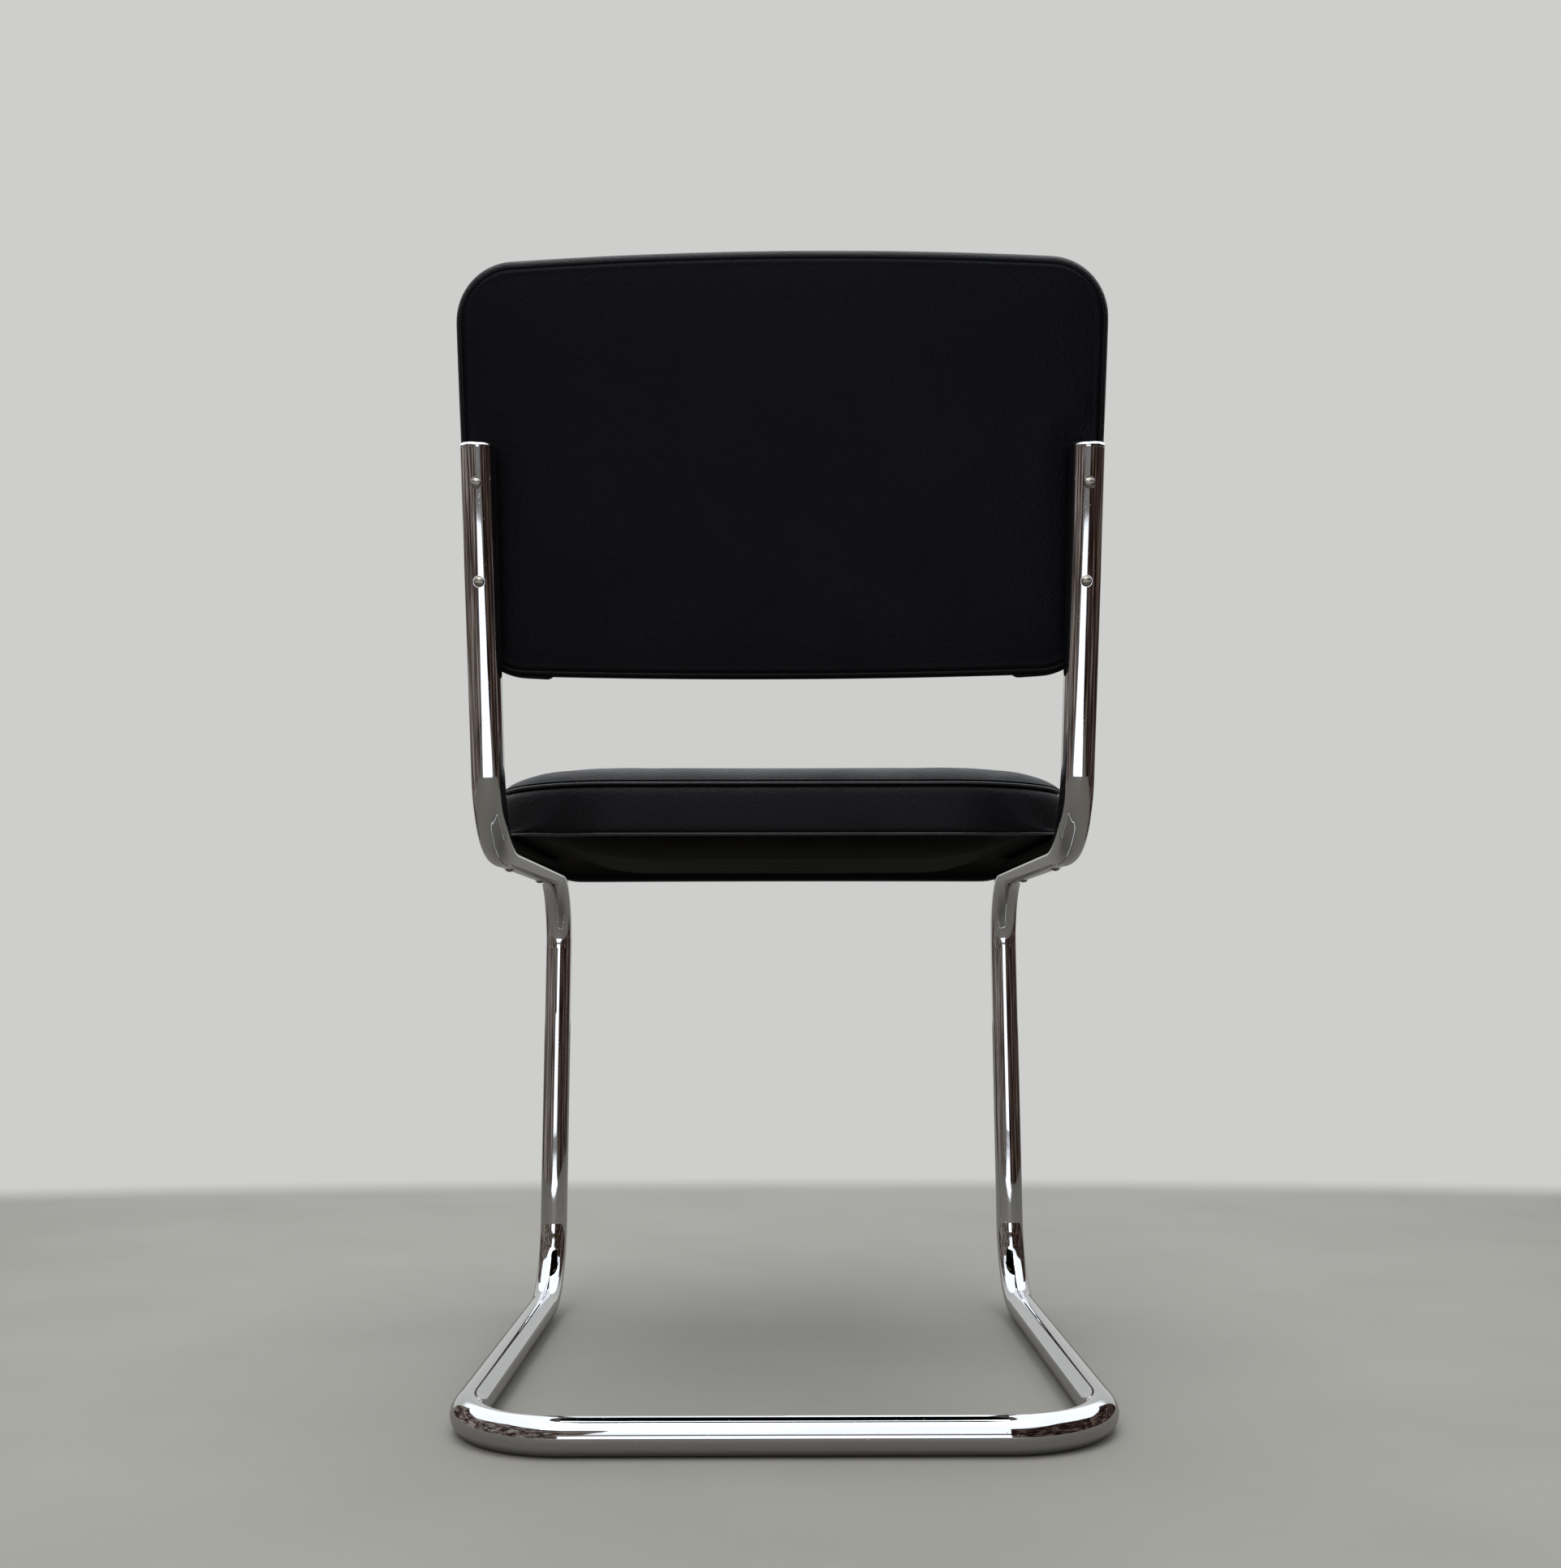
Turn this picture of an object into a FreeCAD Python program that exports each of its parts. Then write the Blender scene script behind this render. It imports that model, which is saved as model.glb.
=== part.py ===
import FreeCAD, Part
import math
import os

# A cantilever chair: one long bent steel tube in two halves carries a padded seat and a padded back.
# The front of the chair faces -Y, +Z is up, and the origin is on the floor under the middle of its box.
# Left and right are the sitter's: the left side is at +X.

# Driving sizes in millimetres, or degrees where the name says so.
SIZES = (
    ("tube_diameter", 25.0),
    ("tube_wall", 2.0),
    ("track_width", 435.0),
    ("rear_bar_y", 257.5),
    ("plan_bend_radius", 72.5),
    ("side_bend_radius", 68.0),
    ("leg_foot_y", -234.0),
    ("leg_head_y", -245.0),
    ("seat_run_front_height", 409.5),
    ("seat_run_rear_height", 405.5),
    ("seat_run_rear_y", 150.5),
    ("upright_length", 290.0),
    ("upright_splay", 2.0),
    ("back_lean_degrees", 14.8),
    ("fit_clearance", 0.3),
    ("bore_clearance", 0.1),
    ("cover_gap", 0.2),
    ("panel_gap", 0.1),
    ("sleeve_length", 90.0),
    ("sleeve_wall", 2.0),
    ("sleeve_screw_spacing", 50.0),
    ("cap_plug_length", 14.0),
    ("cap_rim_thickness", 1.2),
    ("cap_dome_height", 2.2),
    ("cover_thickness", 1.0),
    ("back_start", 123.5),
    ("back_end", 430.5),
    ("back_arch_rise", 8.0),
    ("back_top_overhang", 19.5),
    ("back_bottom_overhang", 14.0),
    ("back_top_corner", 48.0),
    ("back_bottom_corner", 40.0),
    ("back_board_thickness", 8.0),
    ("back_board_margin", 3.4),
    ("back_depth", 27.5),
    ("back_seam_inset", 5.0),
    ("back_screw_end_distance", 25.0),
    ("back_screw_spacing", 70.0),
    ("back_fold_width", 44.0),
    ("back_fold_reach", 45.5),
    ("back_fold_depth", 15.0),
    ("back_fold_setback", 2.0),
    ("back_fold_thickness", 2.0),
    ("seat_overhang", 10.5),
    ("seat_depth", 417.5),
    ("seat_setback", 3.0),
    ("seat_rear_corner", 102.0),
    ("seat_front_corner", 25.0),
    ("seat_side_draw", 2.0),
    ("seat_band_height", 37.5),
    ("seat_crown_height", 17.0),
    ("seat_front_drop_radius", 190.0),
    ("seat_front_drop_length", 74.0),
    ("seat_front_drop_setback", 21.6),
    ("rail_thickness", 20.0),
    ("rail_width", 42.0),
    ("rail_dowel_diameter", 8.0),
    ("rail_dowel_length", 36.0),
    ("rail_dowel_offset", 9.0),
    ("rail_opening_corner", 24.0),
    ("belly_depth", 17.5),
    ("belly_rear_margin", 14.0),
    ("belly_front_margin", 74.0),
    ("belly_side_margin", 40.0),
    ("belly_rear_corner", 70.0),
    ("belly_front_corner", 50.0),
    ("strap_width", 45.0),
    ("strap_thickness", 1.2),
    ("strap_least_gap", 8.0),
    ("strap_end_margin", 17.3),
    ("strap_sag", 14.0),
    ("strap_edge_sag", 4.7),
    ("strap_rebate_width", 22.0),
    ("seat_screw_rear_y", 62.0),
    ("seat_screw_front_y", -105.0),
    ("seat_screw_bite", 14.0),
    ("screw_shank_diameter", 5.0),
    ("screw_head_diameter", 8.0),
    ("screw_head_height", 2.2),
    ("screw_slot_width", 1.1),
    ("screw_slot_depth", 1.0),
    ("screw_spot_depth", 0.7),
    ("nut_barrel_diameter", 7.5),
    ("nut_flange_diameter", 16.0),
    ("nut_flange_thickness", 1.2),
    ("staple_length", 10.0),
    ("staple_wire", 0.8),
    ("staple_pitch", 45.0),
    ("staple_edge_distance", 4.0),
    ("strap_end_play", 2.0),
    ("rebate_overrun", 1.0),
    ("screw_end_play", 1.0),
    ("dowel_end_play", 1.0),
    ("padding_play", 1.0),
)

doc = FreeCAD.newDocument("cantilever_chair")
sheet = doc.addObject("Spreadsheet::Sheet", "sizes")
for row, (alias, number) in enumerate(SIZES, start=1):
    sheet.set("A%d" % row, alias)
    sheet.set("B%d" % row, str(number))
    sheet.setAlias("B%d" % row, alias)
doc.recompute()

pieces = []


def size(alias):
    return float(sheet.get(alias))


def vector(across, along, up):
    return FreeCAD.Vector(across, along, up)


def keep(item, name, place=None):
    """Name an object as one piece of the chair, which is written to a file of its own."""
    item.Label = name
    if place is not None:
        item.Placement = place
    pieces.append(item)
    return item


def feature(name, shape):
    item = doc.addObject("Part::Feature", name)
    item.Shape = shape
    return item


def cylinder(name, diameter, height, place=None):
    """A cylinder along +Z; both sizes are expressions of the sheet's sizes."""
    item = doc.addObject("Part::Cylinder", name)
    item.setExpression("Radius", "(%s) / 2" % diameter)
    item.setExpression("Height", height)
    if place is not None:
        item.Placement = place
    return item


def box(name, length, width, height, place=None):
    item = doc.addObject("Part::Box", name)
    item.setExpression("Length", length)
    item.setExpression("Width", width)
    item.setExpression("Height", height)
    if place is not None:
        item.Placement = place
    return item


def cut(name, base, tool):
    item = doc.addObject("Part::Cut", name)
    item.Base = base
    item.Tool = tool
    return item


def common(name, base, tool):
    item = doc.addObject("Part::Common", name)
    item.Base = base
    item.Tool = tool
    return item


def fuse(name, items):
    item = doc.addObject("Part::MultiFuse", name)
    item.Shapes = items
    return item


def group(name, items):
    """Like pieces that stay separate solids and share one file."""
    item = doc.addObject("Part::Compound", name)
    item.Links = items
    return item


# Sizes that follow from the driving ones.
tube_radius = size("tube_diameter") / 2
half_track = size("track_width") / 2
clear = size("fit_clearance")
skin = size("cover_thickness")
cover_gap = size("cover_gap")
panel_gap = size("panel_gap")
lean = math.radians(size("back_lean_degrees"))
run_rise = size("seat_run_front_height") - size("seat_run_rear_height")
run_length = size("seat_run_rear_y") - size("leg_head_y")
seat_tilt = math.atan2(run_rise, run_length)

X_AXIS = vector(1, 0, 0)
Z_AXIS = vector(0, 0, 1)
REARWARD = vector(0, 1, 0)
FORWARD = vector(0, -1, 0)
DOWNWARD = vector(0, 0, -1)

# A cutter that has to pass right through a piece is this long, or reaches this far past it.
FAR = 200.0
SLANT = math.sqrt(0.5)

# The back is drawn upright: its Z runs up along the uprights and its Y points to the rear.
# The seat is drawn level: its XY plane touches the tops of the two seat runs.
rear_vertex = vector(0, size("seat_run_rear_y"), size("seat_run_rear_height"))
back_frame = FreeCAD.Placement(rear_vertex, FreeCAD.Rotation(X_AXIS, -math.degrees(lean)))
run_turn = FreeCAD.Rotation(X_AXIS, -math.degrees(seat_tilt))
run_frame = FreeCAD.Placement(rear_vertex, run_turn)
seat_frame = run_frame.multiply(FreeCAD.Placement(vector(0, 0, tube_radius), FreeCAD.Rotation()))
seat_frame_inverse = seat_frame.inverse()


def spot(across, along, up, axis=Z_AXIS):
    """A place at a point with +Z turned to an axis."""
    return FreeCAD.Placement(vector(across, along, up), FreeCAD.Rotation(Z_AXIS, axis))


# Frame tube

def bend_reach(before, corner, after, radius):
    """How far from its corner a tangent arc of this radius begins and ends."""
    return radius / math.tan((before - corner).getAngle(after - corner) / 2)


def rounded_path(corners, radii):
    """A wire of straight runs joined by tangent arcs, one radius for each inner corner."""
    edges = []
    start = corners[0]
    for before, corner, after, radius in zip(corners, corners[1:], corners[2:], radii):
        inward = (before - corner).normalize()
        outward = (after - corner).normalize()
        half_angle = inward.getAngle(outward) / 2
        reach = bend_reach(before, corner, after, radius)
        first = corner + inward * reach
        last = corner + outward * reach
        centre = corner + (inward + outward).normalize() * (radius / math.sin(half_angle))
        middle = centre + (corner - centre).normalize() * radius
        edges.append(Part.LineSegment(start, first).toShape())
        edges.append(Part.Arc(first, middle, last).toShape())
        start = last
    edges.append(Part.LineSegment(start, corners[-1]).toShape())
    return Part.Wire(edges)


def frame_corners(side):
    top = back_frame.multVec(vector(0, 0, size("upright_length")))
    across = side * half_track
    return [
        vector(0, size("rear_bar_y"), tube_radius),
        vector(across, size("rear_bar_y"), tube_radius),
        vector(across, size("leg_foot_y"), tube_radius),
        vector(across, size("leg_head_y"), size("seat_run_front_height")),
        vector(across, size("seat_run_rear_y"), size("seat_run_rear_height")),
        vector(across + side * size("upright_splay"), top.y, top.z),
    ]


def swept(name, spine, diameter, side):
    ring = doc.addObject("Part::Circle", name + "_section")
    ring.setExpression("Radius", "(%s) / 2" % diameter)
    start = vector(0, size("rear_bar_y"), tube_radius)
    ring.Placement = FreeCAD.Placement(start, FreeCAD.Rotation(Z_AXIS, vector(side, 0, 0)))
    sweep = doc.addObject("Part::Sweep", name)
    sweep.Sections = [ring]
    sweep.Spine = (spine, ["Edge%d" % (index + 1) for index in range(len(spine.Shape.Edges))])
    sweep.Solid = True
    sweep.Frenet = False
    return sweep


def upright_point(side, along):
    """A point on the centreline of an upright, at a distance up from the seat bend."""
    shift = size("upright_splay") * along / size("upright_length")
    return vector(side * (half_track + shift), 0, along)


def in_back(place):
    return back_frame.multiply(place)


def in_seat(place):
    return seat_frame.multiply(place)


back_screw_high = size("upright_length") - size("back_screw_end_distance")
back_screw_levels = (back_screw_high, back_screw_high - size("back_screw_spacing"))
seat_screw_rows = (size("seat_screw_rear_y"), size("seat_screw_front_y"))


def back_screw_place(side, along):
    """The bottom of the spot face on the rear of an upright, looking rearward."""
    point = upright_point(side, along)
    depth = tube_radius - size("screw_spot_depth")
    return in_back(spot(point.x, depth, point.z, REARWARD))


def seat_screw_place(side, world_y):
    """The bottom of the spot face under a seat run, looking down."""
    along = (world_y - rear_vertex.y) / math.cos(seat_tilt)
    depth = -2 * tube_radius + size("screw_spot_depth")
    return in_seat(spot(side * half_track, along, depth, DOWNWARD))


def sleeve_screw_place(side):
    """The screws of the joint sleeve sit on the front of the rear floor bar, out of sight."""
    depth = size("rear_bar_y") - tube_radius + size("screw_spot_depth")
    return spot(side * size("sleeve_screw_spacing") / 2, depth, tube_radius, FORWARD)


def drill(name, place, through):
    """A screw hole with its spot face; the hole runs from the spot face into the tube."""
    hole_start = place.multiply(FreeCAD.Placement(vector(0, 0, -through), FreeCAD.Rotation()))
    hole = cylinder(
        name + "_hole",
        "sizes.screw_shank_diameter + 2 * sizes.fit_clearance",
        "%s + sizes.tube_wall" % through,
        hole_start,
    )
    face = cylinder(
        name + "_face", "sizes.screw_head_diameter + 2 * sizes.fit_clearance", "sizes.tube_diameter", place
    )
    return [hole, face]


for side, word in ((1, "left"), (-1, "right")):
    spine = feature(
        "spine_" + word,
        rounded_path(
            frame_corners(side),
            [size("plan_bend_radius")] + [size("side_bend_radius")] * 3,
        ),
    )
    outside = swept("outside_" + word, spine, "sizes.tube_diameter", side)
    inside = swept("bore_" + word, spine, "sizes.tube_diameter - 2 * sizes.tube_wall", side)
    pipe = cut("pipe_" + word, outside, inside)
    drills = []
    for number, along in enumerate(back_screw_levels):
        name = "back_drill_%s_%d" % (word, number)
        drills += drill(name, back_screw_place(side, along), 2 * tube_radius)
    for number, world_y in enumerate(seat_screw_rows):
        name = "seat_drill_%s_%d" % (word, number)
        drills += drill(name, seat_screw_place(side, world_y), 2 * tube_radius)
    drills += drill("sleeve_drill_" + word, sleeve_screw_place(side), tube_radius)
    keep(cut("frame_tube_" + word, pipe, fuse("drills_" + word, drills)), "frame_tube_" + word)


# Screws with domed and slotted heads

def screw(name, place, length):
    """A screw whose head sits on its place and whose shank runs down from it."""
    ball_radius = "((sizes.screw_head_diameter / 2) ^ 2 + sizes.screw_head_height ^ 2)"
    ball_radius += " / (2 * sizes.screw_head_height)"
    ball = doc.addObject("Part::Sphere", name + "_ball")
    ball.setExpression("Radius", ball_radius)
    ball.setExpression("Placement.Base.z", "sizes.screw_head_height - " + ball_radius)
    disc = cylinder(name + "_disc", "sizes.screw_head_diameter", "sizes.screw_head_height")
    head = common(name + "_head", ball, disc)
    shank = cylinder(name + "_shank", "sizes.screw_shank_diameter", length)
    shank.setExpression("Placement.Base.z", "-(%s)" % length)
    slot = box(
        name + "_slot", "sizes.screw_head_diameter * 2", "sizes.screw_slot_width", "sizes.screw_head_height"
    )
    slot.setExpression("Placement.Base.x", "-sizes.screw_head_diameter")
    slot.setExpression("Placement.Base.y", "-sizes.screw_slot_width / 2")
    slot.setExpression("Placement.Base.z", "sizes.screw_head_height - sizes.screw_slot_depth")
    whole = cut(name, fuse(name + "_blank", [head, shank]), slot)
    whole.Placement = place
    return whole


# Joint sleeve inside the two butted tube ends, and its two screws

sleeve_start = spot(-size("sleeve_length") / 2, size("rear_bar_y"), tube_radius, X_AXIS)
sleeve_outside = cylinder(
    "sleeve_outside",
    "sizes.tube_diameter - 2 * sizes.tube_wall - 2 * sizes.bore_clearance",
    "sizes.sleeve_length",
    sleeve_start,
)
sleeve_inside = cylinder(
    "sleeve_inside",
    "sizes.tube_diameter - 2 * sizes.tube_wall - 2 * sizes.bore_clearance - 2 * sizes.sleeve_wall",
    "sizes.sleeve_length",
    sleeve_start,
)
sleeve_holes = []
for side in (1, -1):
    place = sleeve_screw_place(side)
    back_off = FreeCAD.Placement(vector(0, 0, -tube_radius), FreeCAD.Rotation())
    sleeve_holes.append(
        cylinder(
            "sleeve_hole_%d" % (side + 1),
            "sizes.screw_shank_diameter + 2 * sizes.bore_clearance",
            "sizes.tube_diameter / 2",
            place.multiply(back_off),
        )
    )
sleeve_pipe = cut("sleeve_pipe", sleeve_outside, sleeve_inside)
keep(cut("joint_sleeve", sleeve_pipe, fuse("sleeve_drills", sleeve_holes)), "joint_sleeve")
sleeve_screw_length = "sizes.tube_wall + sizes.sleeve_wall + sizes.screw_end_play"
keep(
    group(
        "sleeve_screws",
        [screw("sleeve_screw_%d" % (side + 1), sleeve_screw_place(side), sleeve_screw_length)
         for side in (1, -1)],
    ),
    "sleeve_screws",
)


# End caps: a plug in the bore, a rim as wide as the tube and a low dome

def upright_end(side):
    """The cut end of an upright, with +Z along the tube."""
    top = upright_point(side, size("upright_length"))
    base = upright_point(side, 0)
    return in_back(FreeCAD.Placement(top, FreeCAD.Rotation(Z_AXIS, top - base)))


for side, word in ((1, "left"), (-1, "right")):
    name = "end_cap_" + word
    plug = cylinder(
        name + "_plug", "sizes.tube_diameter - 2 * sizes.tube_wall - 2 * sizes.bore_clearance",
        "sizes.cap_plug_length",
    )
    plug.setExpression("Placement.Base.z", "-sizes.cap_plug_length")
    rim = cylinder(name + "_rim", "sizes.tube_diameter", "sizes.cap_rim_thickness")
    dome_radius = "((sizes.tube_diameter / 2) ^ 2 + sizes.cap_dome_height ^ 2) / (2 * sizes.cap_dome_height)"
    ball = doc.addObject("Part::Sphere", name + "_ball")
    ball.setExpression("Radius", dome_radius)
    ball.setExpression(
        "Placement.Base.z", "sizes.cap_rim_thickness + sizes.cap_dome_height - " + dome_radius
    )
    top = cylinder(name + "_top", "sizes.tube_diameter", "sizes.cap_dome_height")
    top.setExpression("Placement.Base.z", "sizes.cap_rim_thickness")
    dome = common(name + "_dome", ball, top)
    keep(fuse(name, [plug, rim, dome]), name, upright_end(side))


# Back: a plywood board, padding in front of it and two leatherette covers

# An outline that is moved in keeps at least these corners.
LEAST_TOP_CORNER = 8.0
LEAST_BOTTOM_CORNER = 4.0
back_rear = -tube_radius - clear
back_front = back_rear - size("back_depth")
board_rear = back_rear - skin - cover_gap
board_front = board_rear - size("back_board_thickness")


def arc(first, middle, last):
    return Part.Arc(first, middle, last).toShape()


def line(first, last):
    return Part.LineSegment(first, last).toShape()


def back_outline(inset, level):
    """The back's outline, drawn in the plane of a level of its Y, each edge moved in by an inset."""
    low = size("back_start") + inset
    high = size("back_end") - inset
    wide = half_track + size("back_top_overhang") - inset
    narrow = half_track + size("back_bottom_overhang") - inset
    big = max(size("back_top_corner") - inset, LEAST_TOP_CORNER)
    small = max(size("back_bottom_corner") - inset, LEAST_BOTTOM_CORNER)
    rise = size("back_arch_rise")
    end = wide - big
    end_level = high - rise * (end / wide) ** 2
    side_top = end_level - big

    def at(across, up):
        return vector(across, level, up)

    edges = [line(at(-narrow + small, low), at(narrow - small, low))]
    edges.append(
        arc(
            at(narrow - small, low),
            at(narrow - small + small * SLANT, low + small - small * SLANT),
            at(narrow, low + small),
        )
    )
    edges.append(line(at(narrow, low + small), at(wide, side_top)))
    edges.append(
        arc(at(wide, side_top), at(end + big * SLANT, side_top + big * SLANT), at(end, end_level))
    )
    edges.append(arc(at(end, end_level), at(0, high), at(-end, end_level)))
    edges.append(
        arc(at(-end, end_level), at(-end - big * SLANT, side_top + big * SLANT), at(-wide, side_top))
    )
    edges.append(line(at(-wide, side_top), at(-narrow, low + small)))
    edges.append(
        arc(
            at(-narrow, low + small),
            at(-narrow + small - small * SLANT, low + small - small * SLANT),
            at(-narrow + small, low),
        )
    )
    return Part.Wire(edges)


def back_prism(inset, rear, front):
    """A flat slab of the back's outline between two levels."""
    face = Part.Face(back_outline(inset, rear))
    return face.extrude(vector(0, front - rear, 0))


# Each step of the back's form: the share of its depth from the rear, and how far the edge is drawn in.
BACK_FORM = ((0.0, 2.0), (0.10, 0.4), (0.28, 0.0), (0.52, 1.2), (0.74, 6.0), (0.88, 16.0),
             (0.965, 36.0), (1.0, 66.0))


def back_body(inset, rear, front):
    """The crowned form of the back between two levels, moved in by an inset."""
    wires = [
        back_outline(inset + drawn, rear + (front - rear) * share) for share, drawn in BACK_FORM
    ]
    return Part.makeLoft(wires, True, True)


def nut_place(side, along):
    point = upright_point(side, along)
    return spot(point.x, board_front, point.z, REARWARD)


back_envelope = back_body(0, back_rear, back_front)
cavity = back_body(skin + cover_gap, board_rear + cover_gap, back_front + skin)
shell = back_envelope.cut(cavity)
window = back_prism(size("back_seam_inset"), back_rear + FAR, board_rear + panel_gap)
keep(feature("back_front_cover", shell.cut(window)), "back_front_cover", back_frame)

screw_hole_radius = size("screw_shank_diameter") / 2 + clear
barrel_hole_radius = size("nut_barrel_diameter") / 2 + size("bore_clearance")
pocket_radius = size("nut_flange_diameter") / 2 + clear
pocket_depth = size("nut_flange_thickness") + cover_gap + 2 * clear
rear_sheet = back_prism(size("back_seam_inset") + cover_gap, back_rear, back_rear - skin)
board = back_prism(size("back_board_margin"), board_rear, board_front)
padding = back_body(skin + clear + cover_gap, board_rear, back_front + skin + clear)
padding = padding.cut(back_prism(-FAR / 10, back_rear + FAR, board_front - cover_gap))
for side in (1, -1):
    for along in back_screw_levels:
        point = upright_point(side, along)
        start = vector(point.x, 0, point.z)
        rear_sheet = rear_sheet.cut(Part.makeCylinder(screw_hole_radius, FAR, start, FORWARD))
        board = board.cut(Part.makeCylinder(barrel_hole_radius, FAR, start, FORWARD))
        pocket_start = vector(point.x, board_front + cover_gap, point.z)
        padding = padding.cut(
            Part.makeCylinder(pocket_radius, pocket_depth + cover_gap, pocket_start, FORWARD)
        )
keep(feature("back_rear_cover", rear_sheet), "back_rear_cover", back_frame)
keep(feature("back_board", board), "back_board", back_frame)
keep(feature("back_padding", padding), "back_padding", back_frame)

# Folded corners of the front cover, tucked under the bottom edge
folds = []
for side, word in ((1, "left"), (-1, "right")):
    fold = box(
        "back_fold_" + word,
        "sizes.back_fold_width",
        "sizes.back_fold_depth",
        "sizes.back_fold_thickness",
    )
    inner_end = half_track - size("back_fold_reach")
    start = inner_end if side > 0 else -inner_end - size("back_fold_width")
    fold_front = back_rear - size("back_fold_setback") - size("back_fold_depth")
    fold_low = size("back_start") - size("back_fold_thickness") - panel_gap
    fold.Placement = in_back(
        FreeCAD.Placement(vector(start, fold_front, fold_low), FreeCAD.Rotation())
    )
    folds.append(fold)
keep(group("back_corner_folds", folds), "back_corner_folds")

# Four flanged nuts pressed into the board from its front, and the screws through the uprights
nuts = []
back_screws = []
back_screw_length = "sizes.tube_diameter - sizes.screw_spot_depth + sizes.fit_clearance"
back_screw_length += " + sizes.cover_thickness + sizes.back_board_thickness"
for side, word in ((1, "left"), (-1, "right")):
    for number, along in enumerate(back_screw_levels):
        name = "back_nut_%s_%d" % (word, number)
        barrel_length = "sizes.back_board_thickness - sizes.screw_end_play"
        barrel = cylinder(name + "_barrel", "sizes.nut_barrel_diameter", barrel_length)
        flange = cylinder(name + "_flange", "sizes.nut_flange_diameter", "sizes.nut_flange_thickness")
        flange.setExpression("Placement.Base.z", "-sizes.nut_flange_thickness")
        bore = cylinder(
            name + "_bore", "sizes.screw_shank_diameter + 2 * sizes.bore_clearance", "sizes.tube_diameter"
        )
        bore.setExpression("Placement.Base.z", "-sizes.tube_diameter / 2")
        nut = cut(name, fuse(name + "_blank", [barrel, flange]), bore)
        nut.Placement = in_back(nut_place(side, along))
        nuts.append(nut)
        name = "back_screw_%s_%d" % (word, number)
        back_screws.append(screw(name, back_screw_place(side, along), back_screw_length))
keep(group("back_nuts", nuts), "back_nuts")
keep(group("back_screws", back_screws), "back_screws")


# Seat: a wooden frame on the two seat runs, webbing, padding and three leatherette covers

seat_rear = -size("seat_setback")
seat_front = seat_rear - size("seat_depth")
seat_half = half_track + size("seat_overhang")
seam_level = size("seat_band_height")

# The underside turns down along the front, no further back than where the tubes have bent away from it.
leg_foot, leg_head, run_end = frame_corners(1)[2:5]
front_bend = leg_head.y + bend_reach(leg_foot, leg_head, run_end, size("side_bend_radius"))
front_bend_along = (front_bend - rear_vertex.y) / math.cos(seat_tilt)
drop_start = min(
    seat_front + size("seat_front_drop_length"), front_bend_along - size("seat_front_drop_setback")
)
drop_radius = size("seat_front_drop_radius")
drop_reach = drop_start - seat_front
drop = drop_radius - math.sqrt(drop_radius ** 2 - drop_reach ** 2)


def plan_outline(half, rear, front, rear_corner, front_corner, draw, level):
    """A rounded rectangle in plan whose four sides are pulled in a little at their middles."""
    def at(across, along):
        return vector(across, along, level)

    edges = []
    rear_draw = draw / 4
    front_draw = draw / 2
    edges.append(
        arc(at(-half + rear_corner, rear), at(0, rear - rear_draw), at(half - rear_corner, rear))
    )
    for side in (1, -1):
        rear_mid = at(side * (half - rear_corner * (1 - SLANT)), rear - rear_corner * (1 - SLANT))
        front_mid = at(side * (half - front_corner * (1 - SLANT)), front + front_corner * (1 - SLANT))
        rear_end = at(side * half, rear - rear_corner)
        front_end = at(side * half, front + front_corner)
        middle = at(side * (half - draw), (rear - rear_corner + front + front_corner) / 2)
        edges.append(arc(at(side * (half - rear_corner), rear), rear_mid, rear_end))
        edges.append(arc(rear_end, middle, front_end))
        edges.append(arc(front_end, front_mid, at(side * (half - front_corner), front)))
    edges.append(
        arc(at(-half + front_corner, front), at(0, front + front_draw), at(half - front_corner, front))
    )
    return Part.Wire(Part.__sortEdges__(edges))


# A plan outline that is moved in loses these shares of the inset from its corners, but keeps some corner.
REAR_CORNER_LOSS = 0.6
FRONT_CORNER_LOSS = 0.4
LEAST_PLAN_CORNER = 12.0


def seat_outline(inset, level, front_extra=0.0):
    return plan_outline(
        seat_half - inset,
        seat_rear - inset,
        seat_front + inset + front_extra,
        max(size("seat_rear_corner") - REAR_CORNER_LOSS * inset, LEAST_PLAN_CORNER),
        max(size("seat_front_corner") - FRONT_CORNER_LOSS * inset, LEAST_PLAN_CORNER),
        size("seat_side_draw"),
        level,
    )


def seat_prism(inset, low, high):
    return Part.Face(seat_outline(inset, low)).extrude(vector(0, 0, high - low))


# Each step of the side: its level as a share of the band, and how far the side is drawn in there.
BAND_FORM = ((-1.0, 4.6), (-0.5, 2.6), (0.0, 1.6), (0.3, 0.3), (0.55, 0.0), (0.8, 0.8))
# Each step of the crown: its level as a share of the crown's height, and how far it is drawn in.
CROWN_FORM = ((0.0, 3.0), (0.42, 12.0), (0.72, 28.0), (0.93, 58.0), (1.0, 98.0))
# The crown slopes more gently along the front, where this share is added to how far it is drawn in.
CROWN_FRONT_SHARE = 0.25
# The form reaches this far below the underside's lowest line, and is cut off there.
BAND_SPARE = 2.0


def seat_body(inset):
    """The whole padded form of the seat, from below its front edge to its crown."""
    wires = []
    for share, drawn in BAND_FORM:
        level = seam_level * share if share > 0 else share * (drop + BAND_SPARE)
        wires.append(seat_outline(inset + drawn, level))
    for share, drawn in CROWN_FORM:
        level = seam_level + (size("seat_crown_height") - inset) * share
        front_extra = CROWN_FRONT_SHARE * (drawn - CROWN_FORM[0][1])
        wires.append(seat_outline(inset + drawn, level, front_extra))
    return Part.makeLoft(wires, True, True)


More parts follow.
